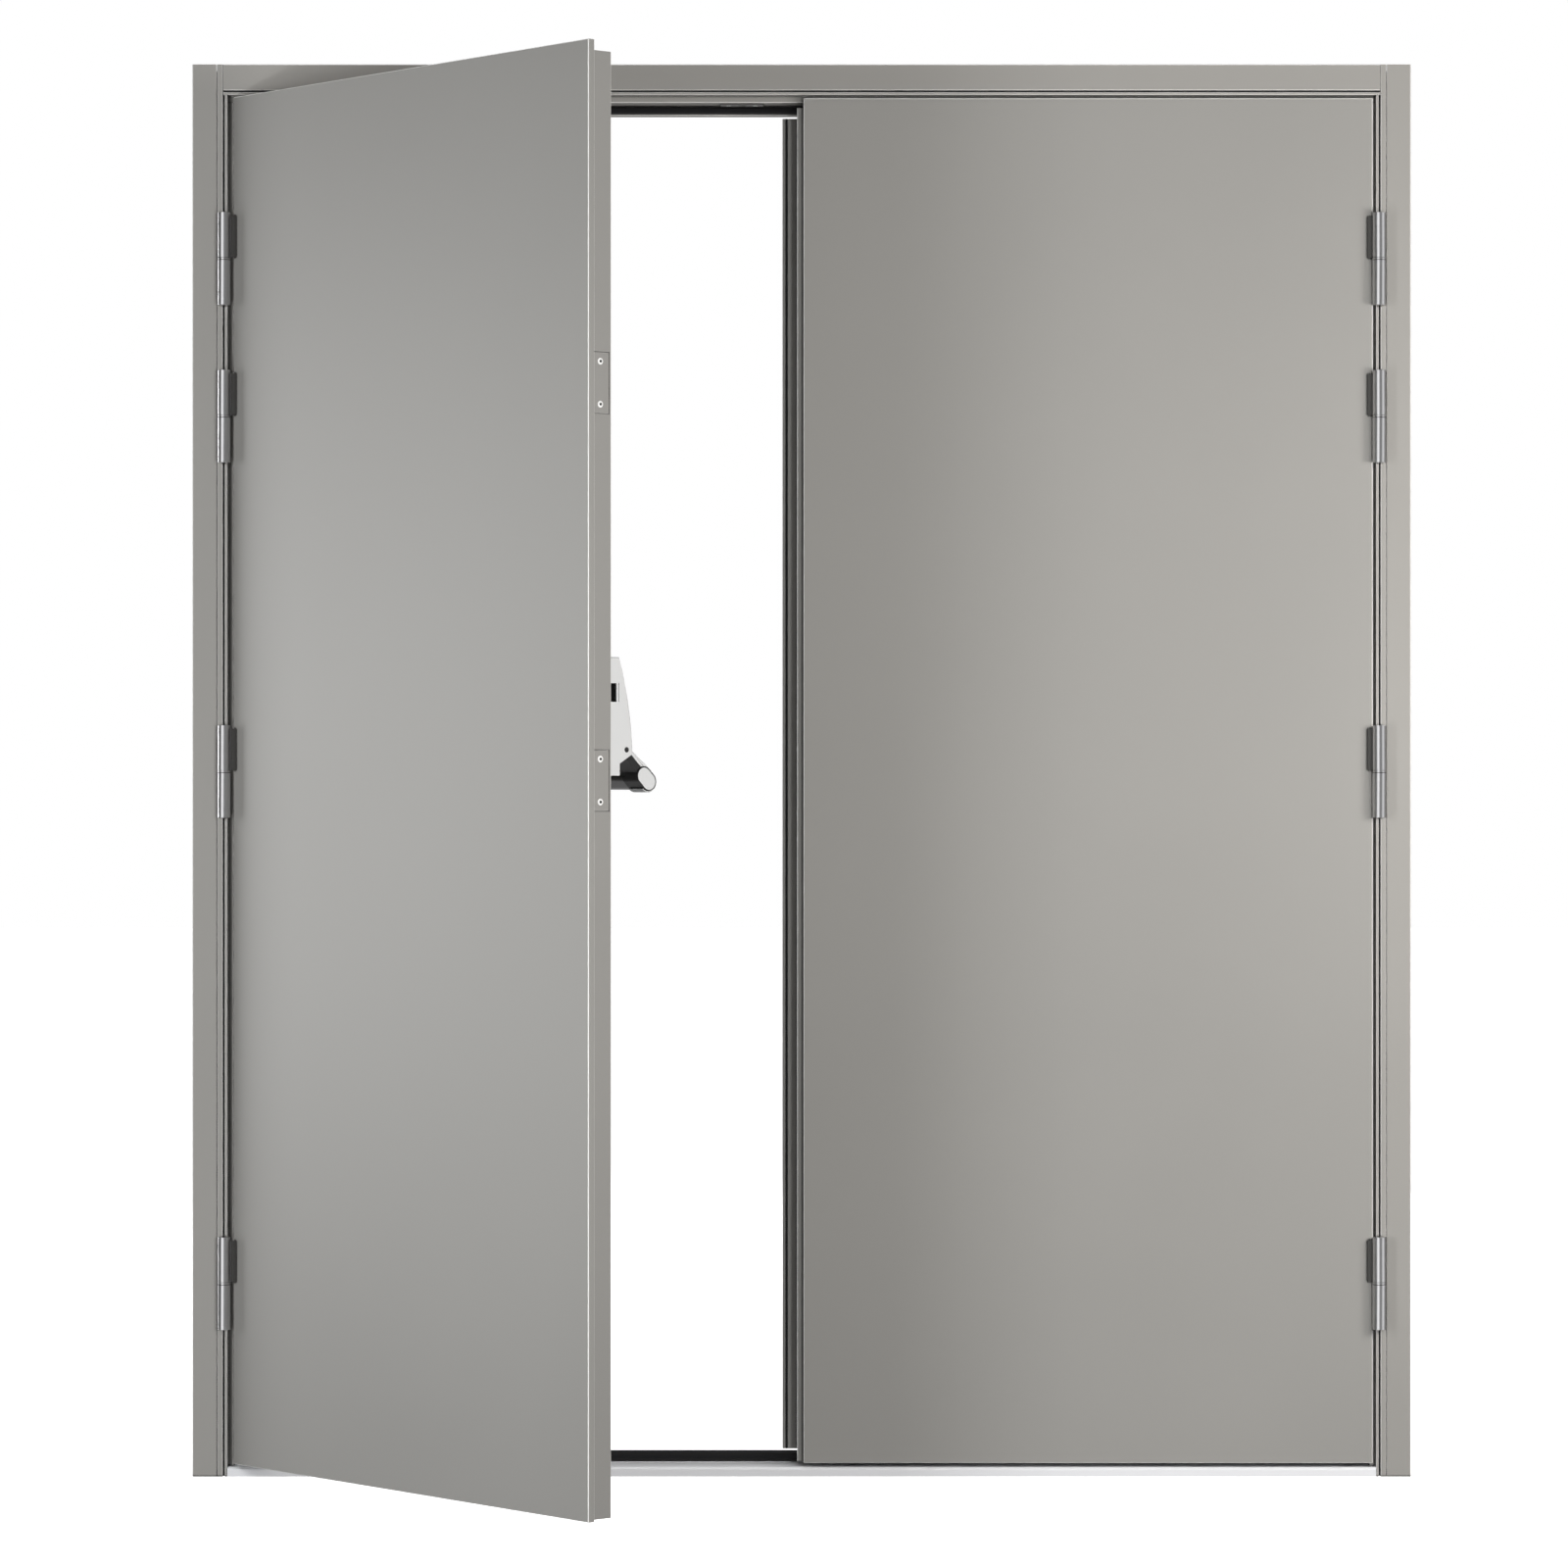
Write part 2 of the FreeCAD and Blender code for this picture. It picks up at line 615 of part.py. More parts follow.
# Strike keep in the passive leaf's edge, with the opening that takes the lock's bolts.
keep = new_body("StrikeKeep")
keep_shape = rectangle(TONGUE_EDGE, f"{TONGUE_EDGE} + keep_sheet", f"{EDGE_DEPTH} - keep_width / 2",
                       f"{EDGE_DEPTH} + keep_width / 2")
KEEP_START = "keep_level - keep_length / 2"
pad(keep, outline(keep, "StrikeKeepShape", [moved(keep_shape, PASSIVE)], lift=KEEP_START), "keep_length")
keep_slot = rectangle(TONGUE_EDGE, f"{TONGUE_EDGE} + keep_sheet", f"{EDGE_DEPTH} - keep_slot_width / 2",
                      f"{EDGE_DEPTH} + keep_slot_width / 2")
SLOT_START = "keep_level - keep_slot_length / 2"
bolt_slot = outline(keep, "StrikeKeepSlot", [moved(keep_slot, PASSIVE)], lift=SLOT_START)
pocket(keep, bolt_slot, "keep_slot_length")
seat(keep, "strike_keep", PASSIVE)

# Meeting strip: a hollow section on the passive leaf's back that the active leaf closes against.
STRIP_FOOT = "(sill_rise + leaf_clearance)"
STRIP_TOP = f"({HEAD_EDGE} - leaf_clearance)"
STRIP_FACE = f"({LEAF_DEPTH} + strip_stand)"
STRIP_BACK = f"({LEAF_DEPTH} + strip_depth)"
STRIP_OUTER = f"({TONGUE_EDGE} - strip_reach)"
SLOT_LOW = f"({STRIP_OUTER} + strip_lip)"
SLOT_HIGH = f"({SLOT_LOW} + strip_slot)"
meeting_strip = new_body("MeetingStrip")
strip_outside = [
    (TONGUE_EDGE, LEAF_DEPTH),
    (TONGUE_EDGE, STRIP_FACE),
    (SLOT_HIGH, STRIP_FACE),
    (SLOT_HIGH, f"{STRIP_FACE} + strip_slot_depth"),
    (SLOT_LOW, f"{STRIP_FACE} + strip_slot_depth"),
    (SLOT_LOW, STRIP_FACE),
    (STRIP_OUTER, STRIP_FACE),
    (STRIP_OUTER, STRIP_BACK),
    (f"{TONGUE_EDGE} + strip_base", STRIP_BACK),
    (f"{TONGUE_EDGE} + strip_base", LEAF_DEPTH),
]
strip_inside = rectangle(f"{TONGUE_EDGE} + strip_sheet", f"{TONGUE_EDGE} + strip_base - strip_sheet",
                         f"{LEAF_DEPTH} + strip_sheet", f"{STRIP_BACK} - strip_sheet")
strip_loops = [moved(strip_outside, PASSIVE), moved(strip_inside, PASSIVE)]
STRIP_LENGTH = f"{STRIP_TOP} - {STRIP_FOOT}"
pad(meeting_strip, outline(meeting_strip, "MeetingStripSection", strip_loops, lift=STRIP_FOOT), STRIP_LENGTH)
seat(meeting_strip, "meeting_strip", PASSIVE)
strip_seal = new_body("MeetingSeal")
seal_shape = rectangle(SLOT_LOW, SLOT_HIGH, f"{STRIP_FACE} - strip_seal_proud",
                       f"{STRIP_FACE} + strip_slot_depth")
seal_section = outline(strip_seal, "MeetingSealSection", [moved(seal_shape, PASSIVE)], lift=STRIP_FOOT)
pad(strip_seal, seal_section, STRIP_LENGTH)
seat(strip_seal, "meeting_seal", PASSIVE)


# Hinges: a lower knuckle with its pin and a wing in the jamb's groove, and an upper knuckle on the leaf.
def turned(body, name, corners):
    """Revolve a half section, given as radius and height, about the hinge's own axis."""
    sketch = outline(body, name, [corners], "XZ_Plane")
    feature = body.newObject("PartDesign::Revolution", name + "Turned")
    feature.Profile = sketch
    feature.ReferenceAxis = (sketch, ["V_Axis"])
    feature.Angle = 360
    return feature


def frame_half(name, label, carrier, sign, level):
    """The lower knuckle, the pin that stands in it, and the wing that goes into the jamb."""
    body = new_body(name)
    low = f"({level} - barrel_length / 2)"
    high = f"({level} + split_rise)"
    pin_top = f"({high} + pin_reach)"
    turned(body, name + "Knuckle", [
        ("0", low),
        ("barrel_radius", low),
        ("barrel_radius", high),
        ("pin_radius", high),
        ("pin_radius", pin_top),
        ("0", pin_top),
    ])
    wing = rectangle(f"{sign} * ({AXIS} - {HALF} + {GROOVE_IN} + wing_play)",
                     f"{sign} * ({AXIS} - {HALF} + {LIP_IN} - wing_play)",
                     "0", "barrel_stand + frame_wing_sink")
    wing_foot = f"({low} + wing_setback)"
    pad(body, outline(body, name + "Wing", [wing], lift=wing_foot), f"{high} - {wing_foot}")
    seat(body, label, carrier)


def leaf_half(name, label, carrier, sign, level):
    """The upper knuckle, bored for the pin, with the wing that lies on the leaf."""
    body = new_body(name)
    low = f"({level} + split_rise + knuckle_gap)"
    high = f"({level} + barrel_length / 2)"
    bore = "pin_radius + pin_clearance"
    bore_top = f"{low} + pin_reach"
    turned(body, name + "Knuckle", [
        (bore, low),
        ("barrel_radius", low),
        ("barrel_radius", high),
        ("0", high),
        ("0", bore_top),
        (bore, bore_top),
    ])
    wing = rectangle(f"{sign} * (barrel_overhang + leaf_wing_gap)",
                     f"{sign} * (barrel_overhang + leaf_wing_gap + leaf_wing_width)",
                     "barrel_stand - leaf_wing_height", "barrel_stand")
    pad(body, outline(body, name + "Wing", [wing], lift=low), f"{high} - wing_setback - {low}")
    seat(body, label, carrier)


HINGE_LEVELS = {
    "Top": "(frame_height - hinge_top_drop)",
    "Upper": "(frame_height - hinge_upper_drop)",
    "Middle": "(frame_height / 2 - hinge_middle_drop)",
    "Low": "hinge_low",
}
LEFT_POST = {"across": AXIS, "inward": "barrel_stand", "turn": "0"}
HINGE_SIDES = (
    ("left", "active", "Left", LEFT_POST, ACTIVE, 1),
    ("right", "passive", "Right", PASSIVE, PASSIVE, -1),
)
for side, leaf, prefix, post, leaf_carrier, sign in HINGE_SIDES:
    for place, level in HINGE_LEVELS.items():
        word = place.lower()
        frame_half(f"{prefix}{place}FrameHalf", f"{side}_{word}_frame_hinge", post, sign, level)
        leaf_half(f"{prefix}{place}LeafHalf", f"{leaf}_{word}_leaf_hinge", leaf_carrier, sign, level)


# Push bar: two casings on the active leaf's back, an arm with its cover pivoted in each and
# the oval bar between them.
NEAR = f"({AXIS} - {MEETING} - casing_inset - casing_width)"
FAR = f"({AXIS} - {LEAF_SIDE} + casing_far_inset)"
BACK = f"({LEAF_DEPTH} + barrel_stand)"
CASING_FOOT = "(pivot_level - casing_drop)"
CASING_TOP = f"({CASING_FOOT} + casing_height)"
STEP = f"({CASING_FOOT} + casing_step)"
CHEEK = f"({CASING_FOOT} + casing_cheek_rise)"
LATCH_LOW = f"({CASING_FOOT} + latch_rise)"
SEAT_RADIUS = "cup_radius - cup_wall"
BAR_RADIUS = f"{SEAT_RADIUS} - bar_fit"
CUP_WIDTH = "(casing_width - 2 * cup_inset)"


def from_back(corners):
    """Corners measured from the leaf's back, as seen from the hinge axis."""
    return [(f"{BACK} + {depth}", height) for depth, height in corners]


def belly(sketch, chord, radius):
    """Swap one straight side of a sketch for an outward arc between the same two corners."""
    doc.recompute()
    sketch.toggleConstruction(chord)
    low = sketch.getPoint(chord, 1)
    high = sketch.getPoint(chord, 2)
    span = high - low
    reach = size(radius)
    rise = reach - math.sqrt(reach ** 2 - (span.Length / 2) ** 2)
    outward = FreeCAD.Vector(span.y, -span.x, 0).normalize()
    arc = sketch.addGeometry(Part.Arc(low, low + span / 2 + outward * rise, high), False)
    for end in (1, 2):
        sketch.addConstraint(Sketcher.Constraint("Coincident", arc, end, chord, end))
    index = sketch.addConstraint(Sketcher.Constraint("Radius", arc, reach))
    sketch.setExpression(f"Constraints[{index}]", bound(radius))


def casing(name, label, start, has_latch):
    """A tapered housing with two cheeks, open below and in front for the arm."""
    body = new_body(name)
    profile = outline(body, name + "Profile", [from_back([
        ("0", CASING_FOOT),
        ("casing_foot_depth", CASING_FOOT),
        ("casing_foot_depth", STEP),
        ("casing_chin_depth", f"{CASING_FOOT} + casing_chin_rise"),
        ("casing_chin_depth", CHEEK),
        ("casing_top_depth", CASING_TOP),
        ("0", CASING_TOP),
    ])], "YZ_Plane", start)
    belly(profile, 4, "casing_belly_radius")
    pad(body, profile, "casing_width")
    room = outline(body, name + "Room", [from_back([
        ("casing_foot_depth + casing_wall", f"{STEP} - casing_wall"),
        ("casing_chin_depth + casing_wall", f"{STEP} - casing_wall"),
        ("casing_chin_depth + casing_wall", f"{CHEEK} + casing_wall"),
        ("casing_chin_depth - casing_wall", f"{CHEEK} + casing_wall"),
        ("casing_top_depth - casing_wall", f"{CASING_TOP} - casing_wall"),
        ("casing_wall", f"{CASING_TOP} - casing_wall"),
        ("casing_wall", f"{STEP} + casing_wall"),
        ("casing_foot_depth + casing_wall", f"{STEP} + casing_wall"),
    ])], "YZ_Plane", f"{start} + casing_wall")
    pocket(body, room, "casing_width - 2 * casing_wall")
    pivot = from_back([("pivot_depth", "pivot_level")])
    bore = rounds(body, name + "Bore", pivot, "pivot_radius + pivot_clearance", "YZ_Plane", start)
    pocket(body, bore, "casing_width")
    belly_foot = FreeCAD.Vector(0, size(BACK), size(CHEEK))
    cheeks = (size(start), size(f"{start} + casing_width"))

    def on_belly_or_top(edge):
        ends = [end.Point - belly_foot for end in edge.Vertexes]
        on_cheek = any(all(abs(end.x - cheek) < 1e-4 for end in ends) for cheek in cheeks)
        return on_cheek and min(end.z for end in ends) > -1e-4 and max(end.y for end in ends) > 1e-4

    soften(body, name + "Rounds", "casing_round", on_belly_or_top)
    if has_latch:
        latch_high = f"{LATCH_LOW} + latch_height"
        openings = [
            from_back(rectangle("latch_near", "latch_far", LATCH_LOW, latch_high)),
            from_back(rectangle("latch_slit", "latch_slit + latch_slit_width", LATCH_LOW, latch_high)),
        ]
        cheek = f"{start} + casing_width - casing_wall"
        pocket(body, outline(body, name + "Latch", openings, "YZ_Plane", cheek), "casing_wall")
    seat(body, label, ACTIVE)


def turned_about(place, axis, angle):
    """An expression for a place and a turn."""
    spot = "; ".join(bound(formula) for formula in place)
    spin = f"create(<<rotation>>; create(<<vector>>; {axis}); {bound(angle)})"
    return f"create(<<placement>>; create(<<vector>>; {spot}); {spin})"


def on_pivot(piece, label):
    """Name a piece drawn along the push bar's arm from its pivot, and place it with the leaf."""
    leaf = turned_about((f"-{AXIS}", "-frame_depth / 2 - barrel_stand", "0"), "0; 0; 1", "-rest_angle")
    pivot = turned_about(("0", f"{BACK} + pivot_depth", "pivot_level"), "1; 0; 0", "-arm_angle")
    piece.Label = label
    piece.setExpression("Placement", f"{leaf} * {pivot}")
    pieces.append(piece)


def add_oval(sketch, radius):
    """Draw the bar's oval, its long way along the arm."""
    near = size("arm_length") - size("cup_span") / 2
    far = size("arm_length") + size("cup_span") / 2
    reach = size("cup_radius")
    quarter = math.pi / 2
    outer = Part.ArcOfCircle(Part.Circle(FreeCAD.Vector(far, 0, 0), UP, reach), -quarter, quarter)
    upper = Part.LineSegment(FreeCAD.Vector(far, reach, 0), FreeCAD.Vector(near, reach, 0))
    inner = Part.ArcOfCircle(Part.Circle(FreeCAD.Vector(near, 0, 0), UP, reach), quarter, 3 * quarter)
    lower = Part.LineSegment(FreeCAD.Vector(near, -reach, 0), FreeCAD.Vector(far, -reach, 0))
    sides = [sketch.addGeometry(curve, False) for curve in (outer, upper, inner, lower)]
    for side, following in zip(sides, sides[1:] + sides[:1]):
        sketch.addConstraint(Sketcher.Constraint("Tangent", side, 2, following, 1))
    pin_point(sketch, sides[0], 3, ("arm_length + cup_span / 2", "0"))
    pin_point(sketch, sides[2], 3, ("arm_length - cup_span / 2", "0"))
    sketch.addConstraint(Sketcher.Constraint("Equal", sides[0], sides[2]))
    index = sketch.addConstraint(Sketcher.Constraint("Radius", sides[0], reach))
    sketch.setExpression(f"Constraints[{index}]", bound(radius))


def ovals(body, name, radii, lift):
    """A sketch of one oval, or of two, one inside the other."""
    sketch = attached(body, name, "YZ_Plane", lift)
    for radius in radii:
        add_oval(sketch, radius)
    return sketch


def arm(name, label, start):
    """A hub on the pivot pin, a web, and the cup that holds one end of the bar."""
    body = new_body(name)
    middle = f"{start} + (casing_width - arm_width) / 2"
    cup_start = f"{start} + cup_inset"
    pivot = [("0", "0")]
    pad(body, rounds(body, name + "Hub", pivot, "arm_hub", "YZ_Plane", middle), "arm_width")
    web = rectangle("0", "arm_length", "-arm_thickness / 2", "arm_thickness / 2")
    pad(body, outline(body, name + "Web", [web], "YZ_Plane", middle), "arm_width")
    pad(body, ovals(body, name + "Cup", ["cup_radius"], cup_start), CUP_WIDTH)
    pocket(body, ovals(body, name + "Seat", [SEAT_RADIUS], cup_start), CUP_WIDTH)
    pad(body, rounds(body, name + "Pin", pivot, "pivot_radius", "YZ_Plane", start), "casing_width")
    on_pivot(body, label)


def arm_cover(name, label, start):
    """The light shell that lies along the arm's outer side and goes on round the end of the cup."""
    body = new_body(name)
    middle = f"{start} + (casing_width - arm_width) / 2"
    shell = "(cup_radius + cover_wall)"
    near = "arm_length - cup_span / 2"
    far = "arm_length + cup_span / 2"
    pad(body, ovals(body, name + "Shell", [shell], middle), "arm_width")
    flank = [("cover_start", "0"), (near, "0"), (near, shell), ("cover_start", "cover_root")]
    pad(body, outline(body, name + "Flank", [flank], "YZ_Plane", middle), "arm_width")
    pocket(body, ovals(body, name + "Cup", ["cup_radius"], middle), "arm_width")
    inner_side = rectangle("0", far, f"-{shell}", "arm_thickness / 2")
    pocket(body, outline(body, name + "InnerSide", [inner_side], "YZ_Plane", middle), "arm_width")
    on_pivot(body, label)


def cap(name, label, start):
    """The disc that closes one end of the bar."""
    body = new_body(name)
    pad(body, ovals(body, name + "Disc", [BAR_RADIUS], start), "cap_sheet")
    on_pivot(body, label)


casing("FreeCasing", "free_side_bar_casing", NEAR, True)
casing("HingeCasing", "hinge_side_bar_casing", FAR, False)
arm("FreeArm", "free_side_bar_arm", NEAR)
arm("HingeArm", "hinge_side_bar_arm", FAR)
arm_cover("FreeCover", "free_side_arm_cover", NEAR)
arm_cover("HingeCover", "hinge_side_arm_cover", FAR)
BAR_START = f"({FAR} + cup_inset + cap_sheet)"
BAR_END = f"({NEAR} + casing_width - cup_inset - cap_sheet)"
push_bar = new_body("PushBar")
bar_section = ovals(push_bar, "PushBarSection", [BAR_RADIUS, f"{BAR_RADIUS} - bar_wall"], BAR_START)
pad(push_bar, bar_section, f"{BAR_END} - {BAR_START}")
on_pivot(push_bar, "push_bar")
cap("FreeCap", "free_side_bar_cap", BAR_END)
cap("HingeCap", "hinge_side_bar_cap", f"{BAR_START} - cap_sheet")


def check_and_write():
    """Stop at a failed object or a poor shape, then write every piece."""
    doc.recompute()
    for item in doc.Objects:
        if "Invalid" in item.State or "Error" in item.State:
            raise RuntimeError(f"{item.Name} failed: {item.State}")
    for piece in pieces:
        if piece.Shape.isNull() or not piece.Shape.isValid() or not piece.Shape.Solids:
            raise RuntimeError(f"{piece.Label} has no valid solid")
    os.makedirs("parts", exist_ok=True)
    for piece in pieces:
        piece.Shape.exportStep(f"parts/{piece.Label}.step")
        box = piece.Shape.BoundBox
        sides = f"{box.XLength:.1f} x {box.YLength:.1f} x {box.ZLength:.1f} mm"
        print(f"{piece.Label}: {len(piece.Shape.Solids)} solid, {piece.Shape.Volume / 1000:.1f} cm3, {sides}")


check_and_write()
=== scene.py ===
# %% [markdown]
# # A double steel exit door, dressed for a studio picture
# The door set is a pair of pressed-steel leaves in a folded steel frame. The left leaf stands open and
# shows its edge, its two lock plates and the end of a push bar on its back. The right leaf is shut.
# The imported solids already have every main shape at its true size, so they stay as they are. What is left
# for this lesson is what a camera sees close up: soft folds, paint, brushed metal, screws and light.

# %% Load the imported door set
import json
import math

import bpy
from mathutils import Matrix, Vector


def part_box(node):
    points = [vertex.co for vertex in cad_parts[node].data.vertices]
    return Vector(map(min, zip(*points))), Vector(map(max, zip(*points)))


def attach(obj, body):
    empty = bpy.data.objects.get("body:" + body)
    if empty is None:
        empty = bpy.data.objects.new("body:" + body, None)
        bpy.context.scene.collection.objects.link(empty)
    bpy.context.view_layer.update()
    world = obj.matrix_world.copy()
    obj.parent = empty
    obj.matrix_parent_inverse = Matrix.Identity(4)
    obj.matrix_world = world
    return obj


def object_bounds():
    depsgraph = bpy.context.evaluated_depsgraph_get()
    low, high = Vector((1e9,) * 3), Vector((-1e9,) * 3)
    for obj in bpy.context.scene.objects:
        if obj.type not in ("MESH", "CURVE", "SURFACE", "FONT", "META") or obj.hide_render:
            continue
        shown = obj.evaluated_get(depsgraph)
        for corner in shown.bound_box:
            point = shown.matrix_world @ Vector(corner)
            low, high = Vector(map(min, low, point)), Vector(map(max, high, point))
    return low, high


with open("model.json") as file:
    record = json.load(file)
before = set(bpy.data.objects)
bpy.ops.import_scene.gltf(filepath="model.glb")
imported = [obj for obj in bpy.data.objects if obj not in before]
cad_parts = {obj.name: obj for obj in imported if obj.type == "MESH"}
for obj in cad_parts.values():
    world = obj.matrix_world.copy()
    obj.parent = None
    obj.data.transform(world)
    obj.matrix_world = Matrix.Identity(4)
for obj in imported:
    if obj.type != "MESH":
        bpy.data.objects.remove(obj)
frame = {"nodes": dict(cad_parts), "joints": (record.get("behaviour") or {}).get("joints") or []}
nodes = frame["nodes"]
cad_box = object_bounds()
MM = 0.001
corners = [tuple(round(v, 3) for v in corner) for corner in cad_box]
print("door set loaded:", len(nodes), "pieces, box", corners)

# %% [markdown]
# ## Soft edges
# A folded or sawn edge is never perfectly sharp, and the thin bright line along it is what tells the eye
# that a surface is real sheet metal. Moving points by hand would change the solid, so each piece gets three
# modifiers instead: Weld joins its loose triangles, Bevel rounds the edges that turn by more than a set
# angle, and Weighted Normal lets the large walls decide the shading, so that only the edge itself looks
# round. The width follows the piece: wide on a pressed leaf, narrow on a thin plate.

# %% Round the edges of every solid
EDGE_ANGLE = math.radians(40)
EDGE_SEGMENTS = 2
WELD_REACH = 0.002 * MM
WALL_WEIGHT = 100
SOFT_EDGE = {
    "frame_paint": 0.6 * MM,
    "leaf_paint": 0.8 * MM,
    "sill_metal": 0.4 * MM,
    "hinge_steel": 0.25 * MM,
    "keep_steel": 0.25 * MM,
    "seal_rubber": 0.5 * MM,
    "casing_shell": 0.8 * MM,
    "arm_black": 0.4 * MM,
    "bar_metal": 0.3 * MM,
}


def slot_of(node):
    """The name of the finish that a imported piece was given."""
    return node.data.materials[0].name


for node in nodes.values():
    weld = node.modifiers.new("Join triangles", "WELD")
    weld.merge_threshold = WELD_REACH
    bevel = node.modifiers.new("Soft edge", "BEVEL")
    bevel.limit_method = "ANGLE"
    bevel.angle_limit = EDGE_ANGLE
    bevel.width = SOFT_EDGE[slot_of(node)]
    bevel.segments = EDGE_SEGMENTS
    bevel.use_clamp_overlap = True
    even = node.modifiers.new("Even walls", "WEIGHTED_NORMAL")
    even.mode = "FACE_AREA"
    even.weight = WALL_WEIGHT
print("soft edges on", len(nodes), "pieces")

# %% [markdown]
# ## Working on the open leaf
# The left leaf is packed half open, so nothing on it is square to the world. It is far easier to build its
# small pieces as if it were shut and then turn them with the leaf. The hinge line and the angle are not
# guessed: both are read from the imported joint.

# %% The turn from shut to open
def joint_named(name):
    """A packed joint by its name."""
    return next(joint for joint in frame["joints"] if joint["name"] == name)


swing = joint_named("active_leaf_swing")
hinge_line = Vector((*swing["pos_m"][:2], 0))
open_angle = math.radians(swing["range_deg"][0])
LEAF_TURN = (
    Matrix.Translation(hinge_line) @ Matrix.Rotation(open_angle, 4, "Z") @ Matrix.Translation(-hinge_line))


def shut_box(name):
    """Lowest and highest corner of a piece of the open leaf, as if that leaf were shut."""
    back = LEAF_TURN.inverted()
    points = [back @ vertex.co for vertex in nodes[name].data.vertices]
    low = Vector(min(p[axis] for p in points) for axis in range(3))
    high = Vector(max(p[axis] for p in points) for axis in range(3))
    return low, high


print("leaf stands open by", round(-math.degrees(open_angle), 1), "degrees")

# %% [markdown]
# ## Node groups
# Several finishes share an effect: paint and plastic have a fine skin, a painted fold tone (a painted
# highlight on the coats, a painted shade on the casings and arms) and a painted black shade in seams, and
# metal has a brushed grain. Each effect is built once as a node group with named sockets, and every material
# then sets its own scale and strength. A group gives out only masks and heights; the shader itself stays in
# the material.

# %% A helper for node trees
def add_node(tree, kind, **settings):
    """Add a node, set its named properties, and return it."""
    node = tree.nodes.new(kind)
    for name, value in settings.items():
        setattr(node, name, value)
    return node


def new_group(name, inputs, outputs):
    """An empty node group with float sockets, and its input and output nodes."""
    group = bpy.data.node_groups.new(name, "ShaderNodeTree")
    for socket, value in inputs.items():
        made = group.interface.new_socket(name=socket, in_out="INPUT", socket_type="NodeSocketFloat")
        made.default_value = value
    for socket in outputs:
        group.interface.new_socket(name=socket, in_out="OUTPUT", socket_type="NodeSocketFloat")
    return group, add_node(group, "NodeGroupInput"), add_node(group, "NodeGroupOutput")


print("node helpers ready")

# %% [markdown]
# ### Sprayed skin
# Powder coat melts into a skin with a very fine dimple, and a wide leaf is never quite even: the gloss drifts
# slowly across it. Two noises give this, a fine one for the dimple's height and a broad one for the drift.

# %% Group for a sprayed skin
DIMPLE_DETAIL, DRIFT_DETAIL = 2.0, 3.0


def sprayed_skin():
    """Fine dimple height and a slow drift, both from 0 to 1."""
    group, given, put = new_group(
        "Sprayed skin", {"Dimple scale": 700.0, "Drift scale": 2.5}, ["Dimple", "Drift"])
    where = add_node(group, "ShaderNodeTexCoord")
    dimple = add_node(group, "ShaderNodeTexNoise")
    dimple.inputs["Detail"].default_value = DIMPLE_DETAIL
    drift = add_node(group, "ShaderNodeTexNoise")
    drift.inputs["Detail"].default_value = DRIFT_DETAIL
    link = group.links.new
    link(where.outputs["Object"], dimple.inputs["Vector"])
    link(where.outputs["Object"], drift.inputs["Vector"])
    link(given.outputs["Dimple scale"], dimple.inputs["Scale"])
    link(given.outputs["Drift scale"], drift.inputs["Scale"])
    link(dimple.outputs["Fac"], put.inputs["Dimple"])
    link(drift.outputs["Fac"], put.inputs["Drift"])
    return group


SKIN = sprayed_skin()
print("group made:", SKIN.name)

# %% [markdown]
# ### Brushed grain
# Drawn or turned metal carries hairlines in one direction. Noise stretched along that direction gives them:
# the stretch is set per axis, so the same group serves a sill that is drawn along its length and a hinge
# barrel that was turned on a lathe.

# %% Group for brushed metal
GRAIN_DETAIL = 4.0


def brushed_grain():
    """Hairlines, finest across the axis whose scale is largest."""
    group, given, put = new_group(
        "Brushed grain", {"Along X": 1.0, "Along Y": 1.0, "Along Z": 1.0}, ["Hairline"])
    where = add_node(group, "ShaderNodeTexCoord")
    stretch = add_node(group, "ShaderNodeCombineXYZ")
    place = add_node(group, "ShaderNodeVectorMath", operation="MULTIPLY")
    lines = add_node(group, "ShaderNodeTexNoise")
    lines.inputs["Scale"].default_value = 1.0
    lines.inputs["Detail"].default_value = GRAIN_DETAIL
    link = group.links.new
    for axis in "XYZ":
        link(given.outputs["Along " + axis], stretch.inputs[axis])
    link(where.outputs["Object"], place.inputs[0])
    link(stretch.outputs["Vector"], place.inputs[1])
    link(place.outputs["Vector"], lines.inputs["Vector"])
    link(lines.outputs["Fac"], put.inputs["Hairline"])
    return group


GRAIN = brushed_grain()
print("group made:", GRAIN.name)
